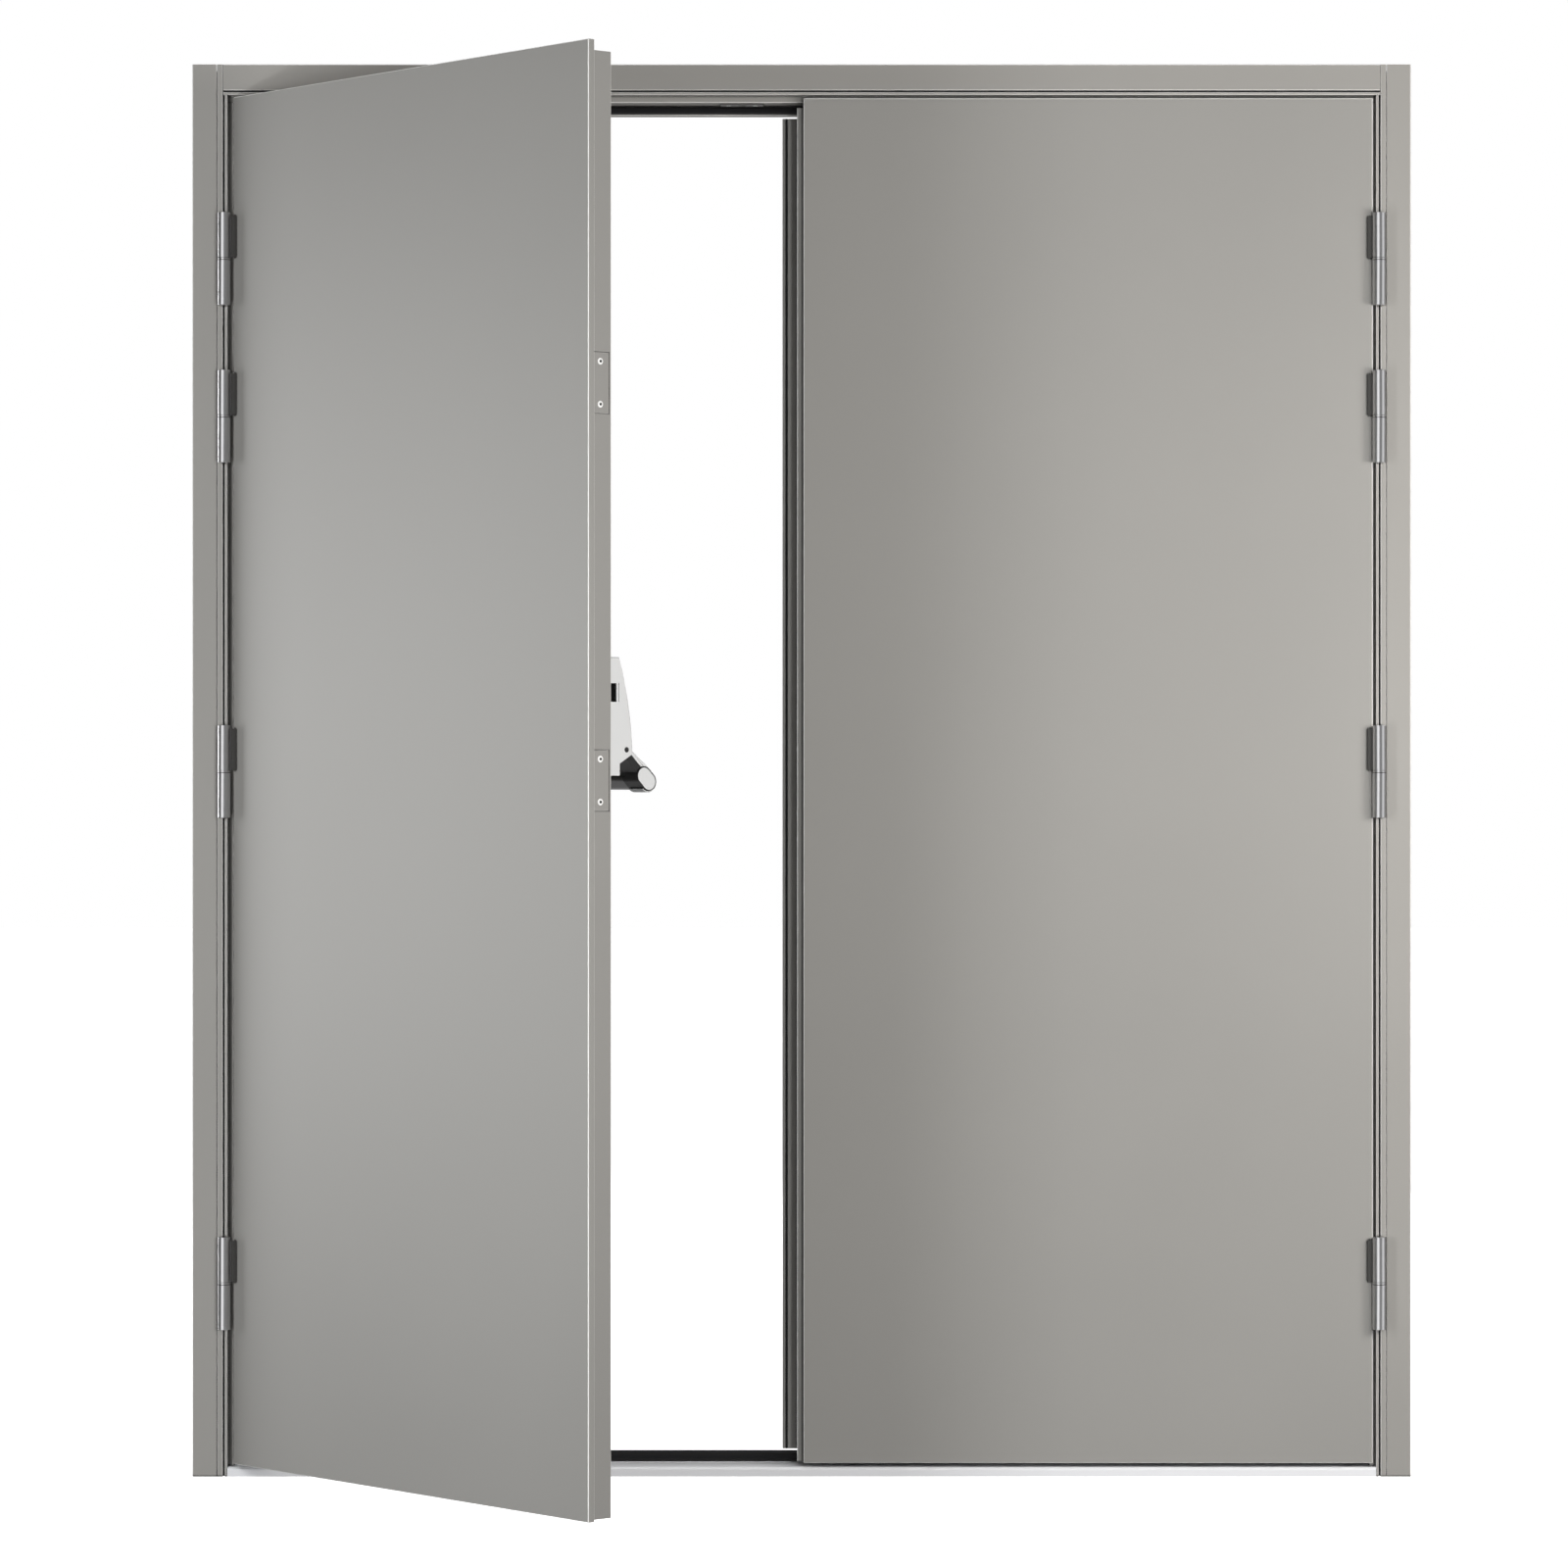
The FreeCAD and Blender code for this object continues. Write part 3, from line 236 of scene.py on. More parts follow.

# %% [markdown]
# ### Fold line
# A bent edge of sheet catches the lamps as a fine pale line, and here that line is painted into the colour:
# the tone along a fold is a painted highlight, and on the moulded casing and arms a painted shade. Painting
# such lines by hand would take a map for every piece. The normal already knows where they are: on a flat wall
# it lies along one axis, and only on a fold does it lean between two. The open leaf is turned against the
# axes, so its normal is first turned back by the leaf's angle.

# %% Group for a fold line
def fold_line():
    """A mask that is 1 where the surface leans between two axes and 0 on every flat wall."""
    group, given, put = new_group("Fold line", {"Turn back": 0.0, "Starts": 0.03, "Full": 0.14}, ["Fold"])
    where = add_node(group, "ShaderNodeTexCoord")
    square = add_node(group, "ShaderNodeVectorRotate", rotation_type="Z_AXIS")
    length = add_node(group, "ShaderNodeVectorMath", operation="ABSOLUTE")
    split = add_node(group, "ShaderNodeSeparateXYZ")
    wider = add_node(group, "ShaderNodeMath", operation="MAXIMUM")
    widest = add_node(group, "ShaderNodeMath", operation="MAXIMUM")
    lean = add_node(group, "ShaderNodeMath", operation="SUBTRACT")
    lean.inputs[0].default_value = 1.0
    mask = add_node(group, "ShaderNodeMapRange", interpolation_type="SMOOTHSTEP")
    link = group.links.new
    link(where.outputs["Normal"], square.inputs["Vector"])
    link(given.outputs["Turn back"], square.inputs["Angle"])
    link(square.outputs["Vector"], length.inputs[0])
    link(length.outputs["Vector"], split.inputs["Vector"])
    link(split.outputs["X"], wider.inputs[0])
    link(split.outputs["Y"], wider.inputs[1])
    link(wider.outputs["Value"], widest.inputs[0])
    link(split.outputs["Z"], widest.inputs[1])
    link(widest.outputs["Value"], lean.inputs[1])
    link(lean.outputs["Value"], mask.inputs["Value"])
    link(given.outputs["Starts"], mask.inputs["From Min"])
    link(given.outputs["Full"], mask.inputs["From Max"])
    link(mask.outputs["Result"], put.inputs["Fold"])
    return group


FOLD = fold_line()
print("group made:", FOLD.name)

# %% [markdown]
# ### Painted crevice shade
# Light does not reach the bottom of a narrow seam, so the joint round a lock plate and the seam beside the
# trim lie in shade, and that shade is painted black into the colour. The occlusion node measures how much of
# the sky a point sees within a few millimetres; where that is little, the mask is 1. On paint the reach is
# kept shorter than the gap between leaf and jamb, so that an edge which a leaf bares when it opens is not
# black.

# %% Group for crevices
SKY_SAMPLES = 6
SHORT_REACH = 4 * MM
SOFT_SPAN = (0.25, 0.75)


def crevice_shade_mask():
    """A mask for painted shade: 1 deep in a seam narrower than the reach and 0 on an open wall."""
    dark, clear = SOFT_SPAN
    group, given, put = new_group(
        "Crevice", {"Reach": SHORT_REACH, "Dark below": dark, "Clear above": clear}, ["Crevice"])
    open_sky = add_node(group, "ShaderNodeAmbientOcclusion", samples=SKY_SAMPLES)
    mask = add_node(group, "ShaderNodeMapRange", interpolation_type="SMOOTHSTEP")
    mask.inputs["To Min"].default_value = 1.0
    mask.inputs["To Max"].default_value = 0.0
    link = group.links.new
    link(given.outputs["Reach"], open_sky.inputs["Distance"])
    link(open_sky.outputs["AO"], mask.inputs["Value"])
    link(given.outputs["Dark below"], mask.inputs["From Min"])
    link(given.outputs["Clear above"], mask.inputs["From Max"])
    link(mask.outputs["Result"], put.inputs["Crevice"])
    return group


CREVICE_SHADE = crevice_shade_mask()
print("group made:", CREVICE_SHADE.name)

# %% [markdown]
# ## Finishes
# A few helpers lay out what all finishes share: a Principled shader, a group for each effect, a colour that
# moves between two tones, a roughness that moves between two values, and a bump. What makes a finish itself
# is then only its numbers, which sit together where they can be compared.

# %% Helpers that build a finish
def group_node(tree, group, **values):
    """Place a group in a material and set its inputs; an underscore stands for a space."""
    node = add_node(tree, "ShaderNodeGroup", node_tree=group)
    for name, value in values.items():
        node.inputs[name.replace("_", " ")].default_value = value
    return node


def between(tree, mask, low, high):
    """A number that goes from low to high with a mask."""
    spread = add_node(tree, "ShaderNodeMapRange")
    spread.inputs["To Min"].default_value = low
    spread.inputs["To Max"].default_value = high
    tree.links.new(mask, spread.inputs["Value"])
    return spread.outputs["Result"]


def blend_colour(tree, mask, first, second):
    """A colour that goes from first to second with a mask; either may be a socket or three numbers."""
    mix = add_node(tree, "ShaderNodeMix", data_type="RGBA")
    for socket, colour in ((mix.inputs[6], first), (mix.inputs[7], second)):
        if isinstance(colour, tuple):
            socket.default_value = (*colour, 1.0)
        else:
            tree.links.new(colour, socket)
    tree.links.new(mask, mix.inputs["Factor"])
    return mix.outputs[2]


def start_finish(name):
    """An empty material with its shader, ready for links."""
    material = bpy.data.materials.new(name)
    material.use_nodes = True
    tree = material.node_tree
    return material, tree, tree.nodes["Principled BSDF"]


def add_bump(tree, shader, height, depth):
    """Turn a height mask into a bump of so many metres."""
    bump = add_node(tree, "ShaderNodeBump")
    bump.inputs["Distance"].default_value = depth
    tree.links.new(height, bump.inputs["Height"])
    tree.links.new(bump.outputs["Normal"], shader.inputs["Normal"])


print("finish helpers ready")

# %% [markdown]
# ### Grey powder coat and other skins
# Frame and leaves are sprayed in one warm grey, satin rather than shiny. The colour drifts by a few percent,
# the gloss drifts with it, the folds carry a painted highlight and the seams a painted black shade. The push
# bar's casings are moulded in light grey, and there a round edge is painted darker, a painted shade for an
# edge that turns away from the lamps.

# %% Make the powder coat and other skins
# Black for the painted shade in seams.
PAINTED_SEAM_SHADE = (0.004, 0.004, 0.004)


def sprayed_finish(
        name, deep, light, fold, rough, dimple_scale, dimple_depth,
        turn_back=0.0, seam_reach=SHORT_REACH, seam_span=SOFT_SPAN, gloss=0.5):
    """Paint or moulded plastic: drifting colour, a painted fold tone, painted black shade in seams, a dimpled
    skin.
    """
    material, tree, shader = start_finish(name)
    skin = group_node(tree, SKIN, Dimple_scale=dimple_scale)
    line = group_node(tree, FOLD, Turn_back=turn_back)
    face = blend_colour(tree, skin.outputs["Drift"], deep, light)
    seam = group_node(tree, CREVICE_SHADE, Reach=seam_reach, Dark_below=seam_span[0], Clear_above=seam_span[1])
    face_with_fold_tone = blend_colour(tree, line.outputs["Fold"], face, fold)
    # Folds take the painted fold tone first, and the seams then take the painted black shade.
    tree.links.new(
        blend_colour(tree, seam.outputs["Crevice"], face_with_fold_tone, PAINTED_SEAM_SHADE), shader.inputs["Base Color"])
    tree.links.new(between(tree, skin.outputs["Drift"], *rough), shader.inputs["Roughness"])
    shader.inputs["Specular IOR Level"].default_value = gloss
    add_bump(tree, shader, skin.outputs["Dimple"], dimple_depth)
    return material


# The third tone of each skin is its painted fold tone: a painted highlight on the coats and the seal, a
# painted shade on the casing and the arms. Their long crevice reach paints the shade inside their hollows
# black.
LEAF_COAT = (
    (0.262, 0.258, 0.248), (0.288, 0.283, 0.272), (0.85, 0.85, 0.84), (0.40, 0.48), 650.0, 0.02 * MM)
FRAME_COAT = (
    (0.272, 0.266, 0.254), (0.300, 0.293, 0.280), (0.72, 0.71, 0.70), (0.38, 0.46), 650.0, 0.02 * MM)
CASING_SKIN = (
    (0.59, 0.60, 0.61), (0.65, 0.66, 0.67), (0.30, 0.31, 0.32), (0.36, 0.44), 900.0, 0.015 * MM)
COAT_SPAN = (0.55, 0.95)
FINISHES = {
    "leaf_paint": sprayed_finish("Leaf powder coat", *LEAF_COAT, seam_span=COAT_SPAN),
    "open_leaf_paint": sprayed_finish(
        "Open leaf powder coat", *LEAF_COAT, turn_back=-open_angle, seam_span=COAT_SPAN),
    "frame_paint": sprayed_finish("Frame powder coat", *FRAME_COAT, seam_span=COAT_SPAN),
    "casing_shell": sprayed_finish(
        "Casing shell", *CASING_SKIN, turn_back=-open_angle, seam_reach=12 * MM),
    "seal_rubber": sprayed_finish(
        "Seal rubber", (0.005, 0.005, 0.006), (0.010, 0.010, 0.011), (0.014, 0.014, 0.014),
        (0.60, 0.75), 1800.0, 0.03 * MM, gloss=0.3),
    "arm_black": sprayed_finish(
        "Arm black", (0.030, 0.030, 0.031), (0.045, 0.045, 0.047), (0.020, 0.020, 0.021),
        (0.40, 0.50), 1200.0, 0.02 * MM, seam_reach=14 * MM, gloss=0.2),
}
SKIN_COUNT = len(FINISHES)
OPEN_LEAF_COATED = ("active_front_skin", "active_rear_skin", "main_lock_plate", "upper_lock_plate")
print("skins made:", ", ".join(FINISHES))

# %% [markdown]
# ### Metals
# The push bar is drawn and anodised dark, and its hairlines run along it. The keeps are steel sheet, dull and
# brushed upwards. Both come from one function: noise stretched along the grain moves the tone and the gloss a
# little and scores the surface.

# %% Make the metals
def brushed_finish(name, deep, light, rough, grain, depth, metallic=1.0):
    """Bare metal: hairlines that move its tone and gloss and score it lightly."""
    material, tree, shader = start_finish(name)
    lines = group_node(tree, GRAIN, Along_X=grain[0], Along_Y=grain[1], Along_Z=grain[2]).outputs["Hairline"]
    tree.links.new(blend_colour(tree, lines, deep, light), shader.inputs["Base Color"])
    tree.links.new(between(tree, lines, *rough), shader.inputs["Roughness"])
    shader.inputs["Metallic"].default_value = metallic
    add_bump(tree, shader, lines, depth)
    return material


ALONG, ACROSS = 6.0, 1600.0
FINISHES |= {
    "keep_steel": brushed_finish(
        "Keep steel", (0.10, 0.10, 0.098), (0.14, 0.14, 0.137), (0.42, 0.5), (ACROSS, ACROSS, ALONG),
        0.003 * MM, metallic=0.4),
    "bar_metal": brushed_finish(
        "Bar metal", (0.05, 0.05, 0.05), (0.09, 0.09, 0.09), (0.30, 0.42), (ALONG, ALONG, ACROSS),
        0.003 * MM),
}
print("metals made:", len(FINISHES) - SKIN_COUNT)

# %% [markdown]
# ### Sill
# The threshold is drawn aluminium, silver where feet cross it. Its upstand, against which the leaves close,
# is black, so the colour and the metal both change at one height, and the hairlines run on through both.

# %% Make the sill's two finishes
UPSTAND_FROM = 15 * MM
SILL_TONES = ((0.72, 0.73, 0.76), (0.80, 0.81, 0.84))
SILL_BLACK = (0.010, 0.010, 0.011)
SILL_METAL = 0.1
SILL_ROUGH = (0.42, 0.52)
SILL_SCORE = 0.004 * MM


def sill_finish():
    """Drawn aluminium below, black above a set height."""
    material, tree, shader = start_finish("Sill aluminium")
    lines = group_node(tree, GRAIN, Along_X=ALONG, Along_Y=ACROSS, Along_Z=ACROSS).outputs["Hairline"]
    where = add_node(tree, "ShaderNodeTexCoord")
    split = add_node(tree, "ShaderNodeSeparateXYZ")
    above = add_node(tree, "ShaderNodeMath", operation="GREATER_THAN")
    above.inputs[1].default_value = UPSTAND_FROM
    tree.links.new(where.outputs["Object"], split.inputs["Vector"])
    tree.links.new(split.outputs["Z"], above.inputs[0])
    black = above.outputs["Value"]
    silver = blend_colour(tree, lines, *SILL_TONES)
    tree.links.new(blend_colour(tree, black, silver, SILL_BLACK), shader.inputs["Base Color"])
    tree.links.new(between(tree, black, SILL_METAL, 0.0), shader.inputs["Metallic"])
    tree.links.new(between(tree, lines, *SILL_ROUGH), shader.inputs["Roughness"])
    add_bump(tree, shader, lines, SILL_SCORE)
    return material


FINISHES["sill_metal"] = sill_finish()
print("sill finish made")

# %% [markdown]
# ### Hinges
# A barrel hinge is turned and plated. Its wings lie between leaf and frame, where shade falls, and they are
# painted near-black and not metallic: a painted shade. The two finishes meet where the wing leaves the barrel,
# so the material measures its distance from the hinge line: inside the barrel's radius it is bare steel,
# outside it is the painted shade. The lathe also left a score round each barrel below the joint of its halves,
# and the shade in it is painted as a thin dark band at a known height.

# %% Make the hinge steel
BARREL_REACH = 10.4 * MM
SCORE_DROP = 3.7 * MM
SCORE_HALF = 0.45 * MM
STEEL_TONES = ((0.58, 0.58, 0.59), (0.64, 0.64, 0.65))
# Painted shade: the dark band in each score and the near-black wings between leaf and frame.
SCORE_PAINTED_SHADE = (0.02, 0.02, 0.02)
WING_PAINTED_SHADE = (0.05, 0.049, 0.047)
BARREL_ROUGH, WING_ROUGH = 0.30, 0.5
LATHE_ROUND, LATHE_SCORE = 40.0, 0.0004 * MM
HINGE_PLACES = ("top", "upper", "middle", "low")


def off_hinge_line(tree):
    """A mask that is 1 farther from the hinge line than the barrel reaches, for both leaves."""
    where = add_node(tree, "ShaderNodeTexCoord")
    mirrored = add_node(tree, "ShaderNodeVectorMath", operation="MULTIPLY")
    mirrored.inputs[1].default_value = (1.0, 1.0, 0.0)
    folded = add_node(tree, "ShaderNodeVectorMath", operation="ABSOLUTE")
    apart = add_node(tree, "ShaderNodeVectorMath", operation="DISTANCE")
    apart.inputs[1].default_value = (abs(hinge_line.x), abs(hinge_line.y), 0.0)
    outside = add_node(tree, "ShaderNodeMath", operation="GREATER_THAN")
    outside.inputs[1].default_value = BARREL_REACH
    link = tree.links.new
    link(where.outputs["Object"], mirrored.inputs[0])
    link(mirrored.outputs["Vector"], folded.inputs[0])
    link(folded.outputs["Vector"], apart.inputs[0])
    link(apart.outputs["Value"], outside.inputs[0])
    return outside.outputs["Value"]


def score_bands(tree):
    """A mask that is 1 in the scored band of each of the four hinges."""
    where = add_node(tree, "ShaderNodeTexCoord")
    split = add_node(tree, "ShaderNodeSeparateXYZ")
    tree.links.new(where.outputs["Object"], split.inputs["Vector"])
    total = None
    for place in HINGE_PLACES:
        band = add_node(tree, "ShaderNodeMath", operation="COMPARE")
        band.inputs[1].default_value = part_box(f"passive_{place}_leaf_hinge")[0].z - SCORE_DROP
        band.inputs[2].default_value = SCORE_HALF
        tree.links.new(split.outputs["Z"], band.inputs[0])
        if total is None:
            total = band.outputs["Value"]
            continue
        either = add_node(tree, "ShaderNodeMath", operation="MAXIMUM")
        tree.links.new(total, either.inputs[0])
        tree.links.new(band.outputs["Value"], either.inputs[1])
        total = either.outputs["Value"]
    return total


def hinge_finish():
    """Turned steel on the barrel, with painted shade in the score round it and on the wings."""
    material, tree, shader = start_finish("Hinge steel")
    grain = group_node(tree, GRAIN, Along_X=LATHE_ROUND, Along_Y=LATHE_ROUND, Along_Z=ACROSS)
    lines = grain.outputs["Hairline"]
    wing = off_hinge_line(tree)
    steel = blend_colour(tree, lines, *STEEL_TONES)
    scored = blend_colour(tree, score_bands(tree), steel, SCORE_PAINTED_SHADE)
    tree.links.new(blend_colour(tree, wing, scored, WING_PAINTED_SHADE), shader.inputs["Base Color"])
    tree.links.new(between(tree, wing, 1.0, 0.0), shader.inputs["Metallic"])
    tree.links.new(between(tree, wing, BARREL_ROUGH, WING_ROUGH), shader.inputs["Roughness"])
    add_bump(tree, shader, lines, LATHE_SCORE)
    return material


FINISHES["hinge_steel"] = hinge_finish()
print("hinge finish made, scored at", len(HINGE_PLACES), "heights")

# %% [markdown]
# ### Finishes on the solids
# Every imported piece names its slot, and the finish of that slot takes the place of the plain one. The coated
# pieces of the open leaf get the coat that finds its folds at the leaf's own angle.

# %% Put the finishes on
for name, node in nodes.items():
    finish = "open_leaf_paint" if name in OPEN_LEAF_COATED else slot_of(node)
    node.data.materials[0] = FINISHES[finish]
print("finishes on", len(nodes), "solids")

# %% [markdown]
# ## Screws
# The lock plates, the strike keep and the bolt keep are held by screws with a low domed head and a socket.
# They are too small for the solids, so they are made here. Bright plated steel and a socket painted black, a
# painted shade for the recess, need two finishes, and both are numbers for functions that exist.

# %% Finishes for the screws
SCREW_STEEL = brushed_finish(
    "Screw steel", (0.88, 0.88, 0.88), (0.95, 0.95, 0.95), (0.45, 0.55), (400.0, 400.0, 400.0),
    0.002 * MM, metallic=0.2)
# The socket finish paints shade: near-black for the recess, and for the latch block inside the casing's
# window.
PAINTED_SOCKET_SHADE = sprayed_finish(
    "Screw socket painted shade", (0.004, 0.004, 0.004), (0.008, 0.008, 0.008), (0.006, 0.006, 0.006), (0.7, 0.8),
    1500.0, 0.01 * MM, gloss=0.0)
print("screw finishes:", SCREW_STEEL.name, "and", PAINTED_SOCKET_SHADE.name)

# %% [markdown]
# ### Screw heads
# A round plug would look like a rivet, so the head is modelled: a cylinder whose top is inset and raised to
# a low dome, then inset again and pushed in for the socket. The socket's floor stays just above the plate,
# which has no hole under it. One head is made for the plates and a smaller one for the keeps.

# %% Model the screw heads
SCREW_FACETS = 24
SOCKET_FLOOR = 0.05 * MM
RIM_WIDTH, RIM_RISE = 0.28, 0.7
LIP_WIDTH, LIP_SINK = 0.06, 0.1
BELOW_DOME = 0.99
FACING = 0.9
SMOOTH_ANGLE = math.radians(35)


def select_faces(wanted):
    """In edit mode, select the faces whose normal passes a test."""
    bpy.ops.mesh.select_mode(type="FACE")
    bpy.ops.mesh.select_all(action="DESELECT")
    bpy.ops.object.mode_set(mode="OBJECT")
    for face in bpy.context.object.data.polygons:
        face.select = wanted(face.normal)
    bpy.ops.object.mode_set(mode="EDIT")


def model_screw(name, radius, sunk, dome, socket):
    """A screw head round the Z axis with its rim at height 0."""
    bpy.ops.object.select_all(action="DESELECT")
    bpy.ops.mesh.primitive_cylinder_add(
        vertices=SCREW_FACETS, radius=radius, depth=sunk, location=(0, 0, -sunk / 2))
    screw = bpy.context.object
    screw.name = name
    bpy.ops.object.transform_apply(location=True, rotation=True, scale=True)
    bpy.ops.object.mode_set(mode="EDIT")
    select_faces(lambda normal: normal.z > FACING)
    bpy.ops.mesh.inset(thickness=radius * RIM_WIDTH, depth=dome * RIM_RISE)
    bpy.ops.mesh.inset(thickness=radius * (1 - RIM_WIDTH) - socket, depth=dome * (1 - RIM_RISE))
    bpy.ops.mesh.inset(thickness=socket * LIP_WIDTH, depth=-socket * LIP_SINK)
    sink = SOCKET_FLOOR - dome + socket * LIP_SINK
    bpy.ops.mesh.extrude_region_move(TRANSFORM_OT_translate={"value": (0, 0, sink)})
    bpy.ops.mesh.select_all(action="SELECT")
    bpy.ops.mesh.normals_make_consistent(inside=False)
    bpy.ops.object.mode_set(mode="OBJECT")
    bpy.ops.object.shade_smooth_by_angle(angle=SMOOTH_ANGLE)
    for finish in (SCREW_STEEL, PAINTED_SOCKET_SHADE):
        screw.data.materials.append(finish)
    # Faces inside the socket take the painted shade.
    for face in screw.data.polygons:
        inside = face.center.xy.length < socket and 0 < face.center.z < dome * BELOW_DOME
        face.material_index = 1 if inside else 0
    return screw


plate_screw = model_screw("plate_screw", radius=4.7 * MM, sunk=2.0 * MM, dome=0.7 * MM, socket=2.0 * MM)
keep_screw = model_screw("keep_screw", radius=3.4 * MM, sunk=1.6 * MM, dome=0.4 * MM, socket=1.4 * MM)
faces = plate_screw.data.polygons
painted_shade_faces = sum(face.material_index for face in faces)
print("screw heads modelled:", len(faces), "faces each,", painted_shade_faces, "of them in the socket")

# %% [markdown]
# ### Screws in their plates
# Each copy is turned from the Z axis to the way its plate faces, moved to its hole, and then applied, so the
# object sits at the origin with its place in its mesh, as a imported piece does.

# %% Set the screws in their plates
def set_screw(pattern, name, place, facing, body, turn=Matrix.Identity(4)):
    """Copy a screw head to a place on a plate, facing out of it, and let it ride with that body."""
    screw = pattern.copy()
    screw.data = pattern.data.copy()
    screw.name = name
    bpy.context.scene.collection.objects.link(screw)
    upright = facing.to_track_quat("Z", "Y").to_matrix().to_4x4()
    screw.data.transform(turn @ Matrix.Translation(place) @ upright)
    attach(screw, body)


PLATE_SCREWS = (29.5 * MM, -29.5 * MM)
STRIKE_SCREWS = (88 * MM, 47 * MM, -49 * MM, -88 * MM)
HEAD_SCREWS = (20 * MM, -20 * MM)
RIGHT, LEFT, DOWN = Vector((1, 0, 0)), Vector((-1, 0, 0)), Vector((0, 0, -1))

for plate in ("main_lock_plate", "upper_lock_plate"):
    low, high = shut_box(plate)
    middle = (low + high) / 2
    for number, rise in enumerate(PLATE_SCREWS, 1):
        hole = Vector((high.x, middle.y, middle.z + rise))
        set_screw(plate_screw, f"{plate}_screw_{number}", hole, RIGHT, "active_leaf", LEAF_TURN)

low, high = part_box("strike_keep")
middle = (low + high) / 2
for number, rise in enumerate(STRIKE_SCREWS, 1):
    hole = Vector((low.x, middle.y, middle.z + rise))
    set_screw(keep_screw, f"strike_screw_{number}", hole, LEFT, "passive_leaf")

low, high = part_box("head_bolt_keep")
middle = (low + high) / 2
for number, along in enumerate(HEAD_SCREWS, 1):
    hole = Vector((middle.x + along, middle.y, low.z))
    set_screw(keep_screw, f"bolt_keep_screw_{number}", hole, DOWN, "frame")

for pattern in (plate_screw, keep_screw):
    bpy.data.objects.remove(pattern)
print("screws set:", 2 * len(PLATE_SCREWS) + len(STRIKE_SCREWS) + len(HEAD_SCREWS))

# %% [markdown]
# ## Latch block
# Behind the window in the cheek of the push bar's casing sits the latch, a block with a raised nose. It wears
# the near-black socket finish, a painted shade for the inside of the window. The block is a cube whose face
# towards the strike is inset and drawn out; one bevel then breaks its edges. It is built on the shut leaf and
# turned with it.

# %% Model the latch block
LATCH_LOW = Vector((-50.5, 16.5, 1141.5)) * MM
LATCH_HIGH = Vector((-46.6, 47.5, 1171.5)) * MM
NOSE_INSET, NOSE_RISE = 4 * MM, 0.8 * MM
LATCH_EDGE = 0.2 * MM


def model_latch():
    """A block just inside the casing's cheek, with a raised nose, in the painted shade of the socket finish.
    """
    bpy.ops.object.select_all(action="DESELECT")
    bpy.ops.mesh.primitive_cube_add(
        size=1, location=(LATCH_LOW + LATCH_HIGH) / 2, scale=LATCH_HIGH - LATCH_LOW)
    latch = bpy.context.object
    latch.name = "latch_block"
    bpy.ops.object.transform_apply(location=True, rotation=True, scale=True)
    bpy.ops.object.mode_set(mode="EDIT")
    select_faces(lambda normal: normal.x > FACING)
    bpy.ops.mesh.inset(thickness=NOSE_INSET)
    bpy.ops.mesh.extrude_region_move(TRANSFORM_OT_translate={"value": (NOSE_RISE, 0, 0)})
    bpy.ops.mesh.select_all(action="SELECT")
    bpy.ops.mesh.bevel(offset=LATCH_EDGE, segments=EDGE_SEGMENTS, affect="EDGES")
    bpy.ops.mesh.select_all(action="SELECT")
    bpy.ops.mesh.normals_make_consistent(inside=False)
    bpy.ops.object.mode_set(mode="OBJECT")
    latch.data.transform(LEAF_TURN)
    # Near-black socket finish: painted shade.
    latch.data.materials.append(PAINTED_SOCKET_SHADE)
    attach(latch, "active_leaf")
    return latch


print("latch block:", len(model_latch().data.polygons), "faces")

# %% [markdown]
# ## Floor
# The picture was lit for a catalogue: the floor is pure white and takes no shadow. A plane that shines white
# does this for the camera alone, and all other light passes through it. No light falls on the floor inside
# the hollow trims, which the seam would show, so the plane stays dark there.

# %% Lay the floor
FLOOR_SIZE = 60
WHITE, PALE = (1.0, 1.0, 1.0), (0.85, 0.85, 0.85)
UNLIT = (0.005, 0.005, 0.005)
FLOOR_ROUGH = 0.9
HOLLOW_INSET = 0.5 * MM
HOLLOW_MARGIN = 6 * MM


def shown_to(ray, tree, shown, rest):
    """Show one shader to the camera, or to a reflection, and another to all other light."""
    seen = add_node(tree, "ShaderNodeLightPath")
    choose = add_node(tree, "ShaderNodeMixShader")
    tree.links.new(seen.outputs[ray], choose.inputs["Fac"])
    tree.links.new(rest, choose.inputs[1])
    tree.links.new(shown, choose.inputs[2])
    return choose.outputs["Shader"]


def in_trim_hollow(tree):
    """A mask that is 1 on the floor inside the hollow of either outer trim, where no light falls."""
    low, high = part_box("right_jamb_trim")
    near, far = low.x - HOLLOW_MARGIN, high.x - HOLLOW_INSET
    where = add_node(tree, "ShaderNodeTexCoord")
    folded = add_node(tree, "ShaderNodeVectorMath", operation="ABSOLUTE")
    split = add_node(tree, "ShaderNodeSeparateXYZ")
    across = add_node(tree, "ShaderNodeMath", operation="COMPARE")
    across.inputs[1].default_value = (near + far) / 2
    across.inputs[2].default_value = (far - near) / 2
    deep = add_node(tree, "ShaderNodeMath", operation="LESS_THAN")
    deep.inputs[1].default_value = abs(low.y) - HOLLOW_INSET
    both = add_node(tree, "ShaderNodeMath", operation="MULTIPLY")
    link = tree.links.new
    link(where.outputs["Object"], folded.inputs[0])
    link(folded.outputs["Vector"], split.inputs["Vector"])
    link(split.outputs["X"], across.inputs[0])
    link(split.outputs["Y"], deep.inputs[0])
    link(across.outputs["Value"], both.inputs[0])
    link(deep.outputs["Value"], both.inputs[1])
    return both.outputs["Value"]


